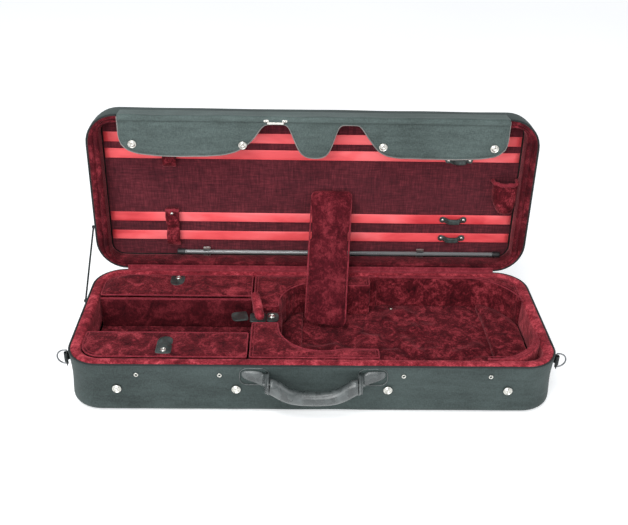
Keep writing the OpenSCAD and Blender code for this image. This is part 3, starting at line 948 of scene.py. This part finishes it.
def make_ring_tab(side):
    """Webbing looped round the ring's upright bar and sewn to the case's end."""
    x, y, z = HALF_W, RING_Y, RING_Z
    path = [(0.9, -13), (1.2, -9), (1.6, -5.5), (4.2, -3.6), (6.9, -2.2), (7.6, 0), (6.9, 2.2), (4.2, 3.6),
            (1.6, 5.5), (1.2, 9), (0.9, 13)]
    line = smooth_line([(side * (x + a), y + b, z) for a, b in path], 1.5)
    web = sweep("web", line, strap_section(18, 1.3), side=(0, 0, 1))
    frame_line = [(side * (x + 1.9), y + a, z + b) for a, b in round_plan(-12, -6.5, -7, 7, 1, 2, 4, 6)]
    name = "right" if side > 0 else "left"
    thread = stitches("thread", frame_line, 2.4)
    settle(join("ring_webbing_" + name, [web, thread]), TAPE, "base", "black_leather", "ring_tab_" + name)


# ---------------------------------------------------------------- lid

def make_lid_shell():
    """Cloth-covered lid: walls a little full, back edges rounded."""
    edge, wall = 10.0, 6.0
    rings, depths = [], []
    for inset, t in ((wall, 40.0), (wall, 3.4), (0.6, 3.4), (0.0, 4.4)):
        rings.append(lid_outline(inset))
        depths.append(t)
    for i in range(1, 9):
        rings.append(lid_outline(-0.8 * math.sin(math.pi * i / 9)))
        depths.append(4.4 + (LID_H - edge - 4.4) * i / 9)
    for i in range(7):
        a = math.radians(15 * i)
        rings.append(lid_outline(edge * (1 - math.cos(a))))
        depths.append(LID_H - edge + edge * math.sin(a))
    for inset in (25, 70):
        rings.append(lid_outline(inset))
        depths.append(LID_H)
    points, faces = loft([lid_points(ring, t) for ring, t in zip(rings, depths)], False, False, True)
    shell = ruffle(add_mesh("lid_cloth", points, faces, LID), 0.6, 80)
    settle(shell, CLOTH, "lid", "outer_cloth", "lid_shell")
    tape = tube("lid_rim_tape", lid_points(lid_outline(0.9), 3.0), 1.5, True, LID)
    settle(tape, TAPE, "lid", "black_leather")


def make_lid_lining():
    """Padded velvet rim in two rolls with a groove between, then the inner wall down to the panel."""
    outer, inner = np.array(lid_outline(2.4)), np.array(lid_hollow())
    crown = ((0.0, 4.2), (0.02, 2.0), (0.10, 0.9), (0.24, 0.5), (0.38, 0.9), (0.47, 2.4), (0.51, 4.6),
             (0.55, 4.4), (0.62, 2.2), (0.76, 1.4), (0.90, 2.4), (0.985, 5.0), (1.0, 9.0), (1.0, 20.0),
             (1.0, 38.6))
    rings = [lid_points(outer * (1 - k) + inner * k, t) for k, t in crown]
    back = np.array(lid_outline(6.2))
    rings += [lid_points(back, 38.6), lid_points(back, 4.6)]
    points, faces = loft(rings, True)
    lining = ruffle(add_mesh("lid_rim_padding", points, faces, LID), 0.7, 24, 5.0)
    settle(subdivide(lining), SHADED_LID_VELVET, "lid", "lining_velvet", "lid_lining")


def make_ribbon(number, s):
    """Satin ribbon, sewn down where the loops and holders are and a little slack between."""
    t = PANEL_T - 0.75
    points = []
    for i in range(77):
        x = -376 + 752 * i / 76
        held = math.exp(-((x - HOLDER_X) / 30) ** 2) + math.exp(-((x - LOOP_X) / 36) ** 2)
        slack = 1.0 * max(0.0, 1 - held) * (1 - (x / 376) ** 8)
        points.append((x, t - slack * (0.7 + 0.3 * math.sin(x / 41 + number)), s + RIBBON_W / 2))
    name = "ribbon_%d" % number
    band = sweep("satin_" + name, points, strap_section(RIBBON_W, 0.9), side=(0, 0, 1), place=LID)
    settle(band, SATIN, "lid", "ribbon_satin", name)


def make_holder(name, s0, s1):
    """Velvet bow holder over two ribbons, pinched between them, with a rolled lip; its rivet is made with the
    loops.
    """
    shape = ((36.2, 0.0), (31, 0.05), (25.6, 0.16), (24.8, 0.28), (29, 0.41), (31.8, 0.5), (28.6, 0.59),
             (24.4, 0.71), (23.6, 0.84), (23.9, 0.95), (27, 1.0), (34, 1.02))
    line = smooth_line([(HOLDER_X, t, s0 + (s1 - s0) * k) for t, k in shape], 2.5)

    def pinch(t):
        return (1 - 0.10 * math.exp(-((t - 0.5) / 0.12) ** 2), 1.0)

    strap = subdivide(sweep("strap", line, strap_section(25.5, 4.4), side=(1, 0, 0), scale=pinch, place=LID))
    ruffle(strap, 0.7, 9)
    settle(strap, BLOCK_VELVET, "lid", "lining_velvet", name)
    strap.name = name + "_velvet"
    lip = smooth_line([(HOLDER_X + x, 25.0 - 0.005 * x * x, s1 + 1.2) for x in (-13, -7, 0, 7, 13)], 1.5)
    roll = ruffle(tube(name + "_lip", lip, 3.3, place=LID), 1.3, 4)
    settle(roll, LIT_SEAM_VELVET, "lid", "lining_velvet")


def rivet(x, t, s, d=5.5, h=1.8):
    profile = ((d * 0.5, 0), (d * 0.5, 0.3 * h), (d * 0.42, 0.7 * h), (d * 0.26, 0.95 * h), (d * 0.08, h))
    return lathe("rivet", profile, on_lid(x, t, s), 24)


def make_loops():
    """Arched leather loops for the bow sticks: flat riveted ends and a rolled middle."""
    x, low_set = LOOP_X, 5.0
    shape = ((-23.5, 36.0), (-19.5, 35.4), (-15, 34.0), (-11.5, 28.5), (-7.5, 25.2), (0, 24.4))
    path = [*shape, *((-a, t) for a, t in reversed(shape[:-1]))]
    loops, rivets = [], []

    def rolled(t):
        middle = math.exp(-((t - 0.5) / 0.2) ** 4)
        return (1 - 0.08 * middle, 1 + 1.3 * middle)

    for s in RIBBONS:
        mid = s + RIBBON_W / 2 - (low_set if s == RIBBONS[1] else 0)
        line = smooth_line([(x + a, t, mid) for a, t in path], 1.4)
        loops.append(sweep("loop", line, strap_section(11, 2.2), side=(0, 0, 1), scale=rolled, place=LID))
        for side in (-1, 1):
            pad = [(x + side * RIVET_OUT + 6.2 * math.cos(a), mid + 6.2 * math.sin(a))
                   for a in (2 * math.pi * i / 24 for i in range(24))]
            loops.append(plate("pad", np.array(pad), 0, 2.0, 0.6, facing_lid(PANEL_T - 1.5)))
            rivets.append(rivet(x + side * RIVET_OUT, PANEL_T - 3.6, mid, 6.0, 1.8))
    settle(join("leather_bow_loops", loops), LEATHER, "lid", "black_leather", "bow_loops")
    settle(join("bow_loop_rivets", rivets), METAL, "lid", "snap_metal", "loop_rivets")
    caps = [rivet(HOLDER_X, 22.0, s, 6.2, 2.2) for s in (104, 258)]
    settle(join("bow_holder_rivets", caps), METAL, "lid", "snap_metal", "holder_rivets")


def make_pocket():
    """Small velvet pouch in the corner of panel and end wall, with a fluffy rolled lip."""
    stations = ((108, 352, 372, 31), (112, 346, 374, 26), (124, 339, 375, 21), (140, 334.5, 375.5, 18),
                (156, 334, 376, 17), (168, 333, 376, 17), (173, 332, 376, 17.5))
    rings = []
    for s, x0, x1, t in stations:
        line = smooth_line([(x0, 36.5, s), (x0 + 1.5, (t + 36) / 2, s - 1), (x0 + 7, t + 1, s - 2),
                            ((x0 + x1) / 2, t, s - 3), (x1 - 2, t + 2, s - 1), (x1, 36.5, s)], 4)
        count = 26
        pick = np.linspace(0, len(line) - 1, count)
        rings.append([tuple(np.array([np.interp(q, range(len(line)), line[:, k]) for k in range(3)]))
                      for q in pick])
    points, faces = loft(rings)
    faces = [f for f in faces if abs(f[0] - f[1]) < 20]
    pouch = add_mesh("corner_pouch", points, faces, LID)
    ruffle(subdivide(thicken(pouch, 3.0)), 1.1, 13)
    settle(pouch, BLOCK_VELVET, "lid", "lining_velvet", "lid_pocket")
    mouth = smooth_line(rings[-1][::4] + [rings[-1][-1]], 2)
    lip = ruffle(tube("corner_pouch_lip", mouth, 3.6, place=LID), 1.8, 5)
    settle(lip, LIT_SEAM_VELVET, "lid", "lining_velvet")


def make_tube_ends():
    """Ribbed caps of the string tube, and the bright flanges of its two clips."""
    for node, body, way in (("tube_cap_left", "tube_cap", -1), ("tube_cap_right", "string_tube", 1)):
        low, high = box_mm(node)
        middle = (low + high) / 2
        long = high.x - low.x
        profile = [(4.3, 0.0), (5.3, 0.4)]
        for i in range(5):
            profile += [(5.6, 1.2 + 2 * i), (5.15, 2.2 + 2 * i)]
        profile += [(5.4, long - 2.4), (5.2, long - 0.8), (4.2, long)]
        start = low.x if way > 0 else high.x
        turn = Matrix.Rotation(way * math.radians(90), 4, "Y")
        place = Matrix.Translation((start, middle.y, middle.z)) @ turn
        settle(lathe(node + "_ribbed", profile, place, 32), PLASTIC, body, "black_plastic", node)
    flanges = []
    for x in CLIP_X:
        for s in CLIP_S:
            line = np.array(round_plan(x - 7, x + 7, s - 2.4, s + 2.4, 1.4, 3, 4, 2))
            flanges.append(plate("flange", line, 0, 1.4, 0.4, facing_lid(PANEL_T - 5.5)))
    settle(join("tube_clip_flanges", flanges), METAL, "lid", "snap_metal")


# ---------------------------------------------------------------- flap

FLAP = box_mm("front_flap")
FLAP_Y = (FLAP[0].y + FLAP[1].y) / 2
FLAP_TOP = FLAP[1].z


def flap_drop(x):
    """How far the flap hangs down at x: two long lobes and a short one between them."""
    shape = ((-340, 34), (-339, 45), (-334, 56), (-325, 63.5), (-308, 68.5), (-270, 71.5), (-230, 72.5),
             (-190, 72), (-158, 69), (-138, 63.5), (-124, 56), (-112, 46), (-101, 33), (-94, 21), (-88, 14),
             (-80, 12), (-52, 12), (-46, 14), (-42, 22), (-36, 38), (-29, 56), (-23, 66), (-14, 72.5),
             (-4, 74.5),
             (6, 74.8), (16, 73), (24, 67), (29, 58), (34, 42), (39, 24), (43, 14), (49, 12), (72, 12),
             (79, 12.4),
             (84, 19), (94, 34), (104, 48), (114, 60), (128, 67.5), (150, 71.5), (190, 73), (250, 72.5),
             (295, 70.5),
             (320, 66.5), (333, 58), (339, 47), (340, 34))
    xs, drops = zip(*shape)
    return float(np.interp(x, xs, drops))


def flap_columns():
    """Where the flap's columns of points stand: close together at its two ends."""
    inner = np.arange(-336, 337, 3.0)
    ends = np.array([336.8, 337.6, 338.4, 339.2, 340.0])
    return np.concatenate([-ends[::-1], inner, ends])


def flap_wave(x, down):
    """How far the cloth stands in front of its plane: folds that grow downwards, none behind the grip."""
    k = down / 75 * min(max((abs(x) - 70) / 60, 0.0), 1.0)
    return -(1.5 * k * math.sin(x / 47 + 0.6) + 1.1 * k * k * math.sin(x / 21 + 2.0) + 2.2 * k * k)


def make_flap():
    """The hanging flap: one doubled sheet with a cream edge cord and a row of stitches."""
    columns, rows = flap_columns(), 18
    drops = np.array([flap_drop(x) for x in columns])
    for _ in range(2):
        drops[1:-1] = (drops[:-2] + 2 * drops[1:-1] + drops[2:]) / 4
    points = []
    for x, drop in zip(columns, drops):
        for j in range(rows + 1):
            down = drop * j / rows
            points.append((x, FLAP_Y + flap_wave(x, down), FLAP_TOP - down))
    flap = add_mesh("flap_cloth", points, grid_faces(len(columns) - 1, rows))
    subdivide(bake(thicken(flap, 2.2)))
    ruffle(flap, 0.35, 30, 2.0)
    settle(flap, LIT_FLAP_CLOTH, "flap", "outer_cloth", "front_flap")
    rim = [(x, FLAP_Y + flap_wave(x, d), FLAP_TOP - d) for x, d in zip(columns, drops)]
    left = [(-340, FLAP_Y, FLAP_TOP - z) for z in (2, 12, 24)]
    right = [(340, FLAP_Y, FLAP_TOP - z) for z in (24, 12, 2)]
    edge = tube("flap_edge_cord", smooth_line(left + rim + right, 3), 1.25, n=8)
    settle(edge, EDGE_TRIM, "flap", "outer_cloth")
    inner = [(x, FLAP_Y + flap_wave(x, d) - 1.6, FLAP_TOP - d + 4.5) for x, d in zip(columns, drops)][2:-2]
    row = stitches("flap_stitches", inner, 3.4, None, False)
    settle(row, TAPE, "flap", "black_leather")
    low, high = box_mm("flap_snaps")
    caps = []
    for x in STUD_X:
        z = (low.z + high.z) / 2
        y = FLAP_Y + flap_wave(x, FLAP_TOP - z) - 1.0
        caps.append(lathe("cap", snap_profile(high.z - low.z, 2.8), facing_front(x, y, z)))
    settle(join("flap_snap_caps", caps), METAL, "flap", "snap_metal", "flap_snaps")


def make_flap_bridge():
    """The cloth that runs from the lid's top, over its front edge, into the flap."""
    path = [LID @ Vector((0, t, s)) for t,
            s in ((24, 300.7), (16, 301.1), (8, 301.4), (2.5, 301.7), (-3, 302.2))]
    path = [(p.y, p.z) for p in path]
    path += [(FLAP_Y + 0.6, FLAP_TOP + 0.5), (FLAP_Y - 1.7, FLAP_TOP - 1.5), (FLAP_Y - 1.9, FLAP_TOP - 8)]
    line = smooth_line([(0, y, z) for y, z in path], 2.0)
    xs = np.linspace(-339.5, 339.5, 120)
    points = []
    for x in xs:
        sag = 0.5 * math.sin(x / 33) + 0.4 * math.sin(x / 13 + 1)
        for i, p in enumerate(line):
            points.append((x, p[1], p[2] + sag * math.sin(math.pi * i / (len(line) - 1))))
    bridge = add_mesh("flap_top_cloth", points, grid_faces(len(xs) - 1, len(line) - 1))
    bake(thicken(bridge, 1.2, 1))
    settle(bridge, LIT_FLAP_CLOTH, None, "outer_cloth")
    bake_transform(bridge)


def make_keeper():
    """Bent metal keeper riveted to the flap between two lobes, with two bright ears."""
    low, high = box_mm("flap_keeper")
    y = high.y
    parts = []
    for x0, x1, z0, z1 in ((low.x, low.x + 9, high.z - 4.5, high.z),
                           (high.x - 9, high.x, high.z - 4.5, high.z),
                           (low.x + 6, high.x - 6, high.z - 8.5, high.z - 4.5)):
        line = np.array(round_plan(x0, x1, z0, z1, 1.6, 4, 5, 3))
        turn = Matrix.Translation((0, y - 0.8, 0)) @ Matrix.Rotation(math.radians(90), 4, "X")
        parts.append(plate("plate", line, 0, 1.8, 0.5, turn))
    for x in (low.x + 5, high.x - 5):
        profile = ((2.0, 0), (2.0, 0.6), (1.2, 1.3), (0.3, 1.5))
        parts.append(lathe("head", profile, facing_front(x, y - 2.4, high.z - 2.7), 20))
    settle(join("keeper_plate", parts), METAL, "flap", "snap_metal", "flap_keeper")


# ---------------------------------------------------------------- cloth across the hinge, stay

def hinge_strip(name, path, x0, x1, material, slot, start, end, *nodes):
    """A strip of cloth along the hinge, curved from the base over to the lid."""
    line = smooth_line([(0, y, z) for y, z in path], 1.6)
    xs = np.linspace(x0, x1, 90)
    points = [(x, p[1], p[2] + 0.25 * math.sin(x / 17)) for x in xs for p in line]
    strip = add_mesh(name, points, grid_faces(len(xs) - 1, len(line) - 1))
    bake(thicken(strip, 0.9))
    settle(strip, material, None, slot, *nodes)
    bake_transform(strip)


def make_hinge():
    tape = box_mm("hinge_tape")
    x0, x1 = tape[0].x, tape[1].x
    y, z = HALF_D, BASE_H
    outside = ((y + 0.8, tape[0].z), (y + 0.8, z - 18), (y + 0.8, z - 8), (y + 0.9, z - 3),
               (y + 2.2, z - 1.0),
               (y + 6, z - 1.2), (y + 16, z - 1.6), (y + 26, z - 2.0))
    hinge_strip("hinge_cloth", outside, x0, x1, CLOTH, "outer_cloth", (y + 0.4, z - 3), (y + 5, z - 1),
                "hinge_tape")
    inside = ((y - 9, z + 0.3), (y - 5, z + 0.1), (y - 1.6, z + 0.2), (y - 0.3, z + 1.8), (y - 0.2, z + 5),
              (y, z + 8))
    hinge_strip("hinge_velvet", inside, x0, x1, LIT_SEAM_VELVET, "lining_velvet", (y - 3, z), (y - 0.5, z + 3.5))


def make_stay():
    """Cord from the base's end to the lid's end, knotted at both."""
    low, high = box_mm("lid_stay")
    x = (low.x + high.x) / 2
    start, end = Vector((x, low.y + 1.0, low.z + 1.0)), Vector((x, high.y - 1.0, high.z - 1.0))
    line = [start.lerp(end, i / 40) for i in range(41)]
    parts = [tube("cord", [tuple(p) for p in line], 1.6)]
    for way in (0, 1):
        strand = [(p.x + 0.55 * math.cos(i * 0.9 + math.pi * way),
                   p.y + 0.55 * math.sin(i * 0.9 + math.pi * way), p.z)
                  for i, p in enumerate(start.lerp(end, j / 120) for j in range(121))]
        parts.append(tube("strand", strand, 1.25, n=8))
    for p in (start, end):
        profile = ((1.0, -3.2), (2.6, -2.2), (3.2, 0), (2.6, 2.2), (1.0, 3.2))
        parts.append(lathe("knot", profile, Matrix.Translation(p), 20))
    stay = join("stay_cord", parts)
    settle(stay, TAPE, None, "black_leather", "lid_stay")
    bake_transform(stay)


# ---------------------------------------------------------------- loose pad

def start_pad():
    """The loose pad as one soft piece: crowned, with round corners and its foot turned a little."""
    low, upper = box_mm("pad_lower"), box_mm("pad_upper")
    half_t = 6.0
    foot = Vector(((low[0].x + low[1].x) / 2, low[0].y + half_t, low[0].z + half_t))
    tip = Vector((foot.x, upper[1].y - half_t, upper[1].z - half_t))
    along = (tip - foot).normalized()
    out = along.cross(Vector((1, 0, 0)))
    long = (tip - foot).length + 2 * half_t
    half_w = (low[1].x - low[0].x) / 2 - 0.3
    nu, nv = 20, 64
    rings = []
    for j in range(nv + 1):
        v = 0.5 - 0.5 * math.cos(math.pi * j / nv)
        d = v * long
        corner = 14.0
        near_end = min(d, long - d)
        rest = max(corner ** 2 - (corner - near_end) ** 2, 0)
        narrow = 0 if near_end > corner else corner - math.sqrt(rest)
        width = half_w - narrow * 0.85
        thick = (half_t - 1.4) * min(1.0, math.sqrt(max(near_end, 0.02) / 7.0))
        turn = math.radians(15) * max(0.0, 1 - d / 62) ** 1.5
        ring = []
        for i in range(2 * nu):
            a = 2 * math.pi * i / (2 * nu)
            across = width * math.copysign(abs(math.cos(a)) ** 0.35, math.cos(a))
            level = 0.69 * across * math.sin(turn)
            lean = 6.0 * (2 * d / long - 1)
            rise = thick * math.copysign(abs(math.sin(a)) ** 0.6, math.sin(a))
            p = foot + along * (d - half_t - level) + Vector((1, 0, 0)) * (across * math.cos(turn) + lean) \
                - out * (rise + across * math.sin(turn))
            ring.append(tuple(p))
        rings.append(ring)
    points, faces = loft(rings, False, True, True)
    pad = remesh(add_mesh("loose_velvet_pad", points, faces), 4.0, 2)
    edge = []
    for ring in rings[7:-7]:
        edge.append(np.array(ring[0]) * 0.96 + np.array(ring[nu]) * 0.04)
    for ring in reversed(rings[7:-7]):
        edge.append(np.array(ring[0]) * 0.04 + np.array(ring[nu]) * 0.96)
    return swell(pad, 4.0, 4.0), even_line(edge, 4.0), foot, along, out


def end_pad(pad, edge, foot, along, out):
    """Presses the pad's creases in, one of them at its fold, and keeps it clear of what it leans on."""
    co = places(pad) / MM
    far = (co - np.array(foot)) @ np.array(along)
    across = co[:, 0] - foot.x
    for at, depth, slant in ((PAD_FOLD, 1.5, 0.03), (46, 0.9, -0.02)):
        co -= np.outer(np.exp(-((far - at - slant * across) / 3.0) ** 2) * depth, -np.array(out)) \
            * np.sign((co - np.array(foot)) @ -np.array(out))[:, None]
    rise = (co - np.array(foot)) @ -np.array(out)
    co -= np.outer(rise - np.clip(rise, -PAD_BACK, PAD_FRONT), -np.array(out))
    put_back(pad, co * MM)
    subdivide(pad)
    ruffle(pad, 1.1, 34, 7.0)
    settle(pad, SHADED_PAD_VELVET, None, "lining_velvet", "pad_lower", "pad_upper")
    piping = ruffle(tube("loose_pad_piping", edge, 1.7, True, n=8), 0.5, 9)
    settle(piping, LIT_SEAM_VELVET, None, "lining_velvet")
    for piece in (pad, piping):
        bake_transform(piece)


# ---------------------------------------------------------------- everything

KEPT = {
    "lid_panel": PANEL, "string_tube": CLEAR, "tube_clips": PLASTIC, "ring_left": RING_METAL,
    "ring_right": RING_METAL,
    "handle_pins": GRIP, "well_button": METAL,
}


def paint_nodes():
    for node, material in KEPT.items():
        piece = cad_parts[node]
        piece.data.materials.clear()
        piece.data.materials.append(material)
        piece.data.polygons.foreach_set("use_smooth", [True] * len(piece.data.polygons))


def make_stage():
    """A wide pale floor."""
    points = [(-9000, -9000, -0.6), (9000, -9000, -0.6), (9000, 9000, -0.6), (-9000, 9000, -0.6)]
    floor = add_mesh("floor", points, [(0, 1, 2, 3)])
    floor.data.materials.append(pale_floor())


def add_light(name, place, target, size, power, colour=(1, 1, 1)):
    data = bpy.data.lights.new(name, "AREA")
    data.shape = "RECTANGLE"
    data.size, data.size_y = size
    data.energy = power
    data.color = colour
    light = bpy.data.objects.new(name, data)
    light.location = place
    light.rotation_euler = (Vector(target) - Vector(place)).to_track_quat("-Z", "Y").to_euler()
    SCENE.collection.objects.link(light)


def make_lights():
    add_light("top_softbox", (-0.5, -0.9, 2.2), (0, 0.0, 0.1), (1.6, 0.8), 20)
    add_light("front_softbox", (-0.9, -2.6, 1.5), (0, 0, 0.15), (2.2, 1.4), 55)
    add_light("right_fill", (2.2, -1.2, 1.4), (0, 0, 0.15), (1.4, 1.4), 10)
    world = bpy.data.worlds.new("world")
    SCENE.world = world
    world.use_nodes = True
    world.node_tree.nodes["Background"].inputs["Color"].default_value = (0.95, 0.97, 1.0, 1)
    world.node_tree.nodes["Background"].inputs["Strength"].default_value = 0.62
    SCENE.view_settings.view_transform = "Standard"


# node, piece, material, how far it may swell, voxel, fill and depth of its crush
BLOCKS = (
    ("rear_block", "rear_foam_block", BLOCK_VELVET, 0.9, 3.0, 0.9, 0.8),
    ("front_block", "front_foam_block", BLOCK_VELVET, 0.9, 3.0, 0.9, 0.8),
    ("corner_block", "corner_foam_block", BLOCK_VELVET, 0.9, 3.0, 0.9, 0.8),
    ("tail_wall", "tail_bout_wall", LIT_RIM_VELVET, 0.8, 2.5, 0.9, 0.6),
    ("neck_support", "neck_channel_pad", SHADED_WALL_VELVET, 0.8, 3.0, 0.8, 0.6),
    ("neck_cradle", "neck_cradle_bar", LIT_RIM_VELVET, 1.0, 2.2, 0.9, 0.9),
    ("neck_end_cushion", "neck_end_pad", FLOOR_VELVET, 2.0, 3.0, 0.6, 0.8),
    ("tail_cushion", "tail_pad", FLOOR_VELVET, 2.5, 3.5, 0.6, 0.9),
    ("rear_divider", "rear_divider_velvet", SHADED_WALL_VELVET, 0.4, 2.2, 0.8, 0.3),
    ("front_divider", "front_divider_velvet", SHADED_WALL_VELVET, 0.4, 2.2, 0.8, 0.3),
)


def make_soft_goods():
    """Every simulated piece is set up, then all are run at once, then each is finished."""
    floor = make_floor()
    blocks = []
    for node, name, material, cap, voxel, fill, depth in BLOCKS:
        blocks.append((start_block(node, name, cap, voxel), node, material, "base", fill, depth))
    covers = [(start_block(node, node + "_velvet", 1.6, 2.3), node) for node in ("rear_cover", "front_cover")]
    pad = start_pad()
    run_cloth()
    end_floor(floor)
    for block in blocks:
        end_block(*block)
    for piece, node in covers:
        end_block(piece, node, BLOCK_VELVET, node, 0.7, 0.7)
    end_pad(*pad)
    for node in ("rear_block", "front_block", "corner_block", "tail_wall"):
        edge_piping(node + "_edge", node, "base")
    for node in ("rear_cover", "front_cover"):
        edge_piping(node + "_edge", node, node)
    for node in ("rear_divider", "front_divider"):
        edge_piping(node + "_edge", node, "base", 1.2, 0.3, 1.0, 0)


def make_leather():
    patches = (("strap_middle", "neck_strap_middle", "base"),
               ("strap_left_end", "neck_strap_left", "strap_left"),
               ("strap_right_end", "neck_strap_right", "strap_right"),
               ("rear_pull_tab", "rear_tab", "rear_cover"), ("front_pull_tab", "front_tab", "front_cover"))
    for patch in patches:
        leather_patch(*patch)
    for node, body in (("strap_snap", "strap_right"), ("rear_tab_snap", "rear_cover"),
                       ("front_tab_snap", "front_cover")):
        flat_snap(node + "_cap", node, body)


make_camera()
make_stay()
make_base_shell()
make_base_lining()
make_soft_goods()
make_leather()
make_studs()
for way in (-1, 1):
    make_boot(way)
    make_ring_tab(way)
make_grip()
make_lid_shell()
make_lid_lining()
for number, height in enumerate(RIBBONS, 1):
    make_ribbon(number, height)
make_holder("bow_holder_lower", 34, 108)
make_holder("bow_holder_upper", 193, 262)
make_loops()
make_pocket()
make_tube_ends()
make_flap()
make_flap_bridge()
make_keeper()
make_hinge()
paint_nodes()
make_stage()
make_lights()
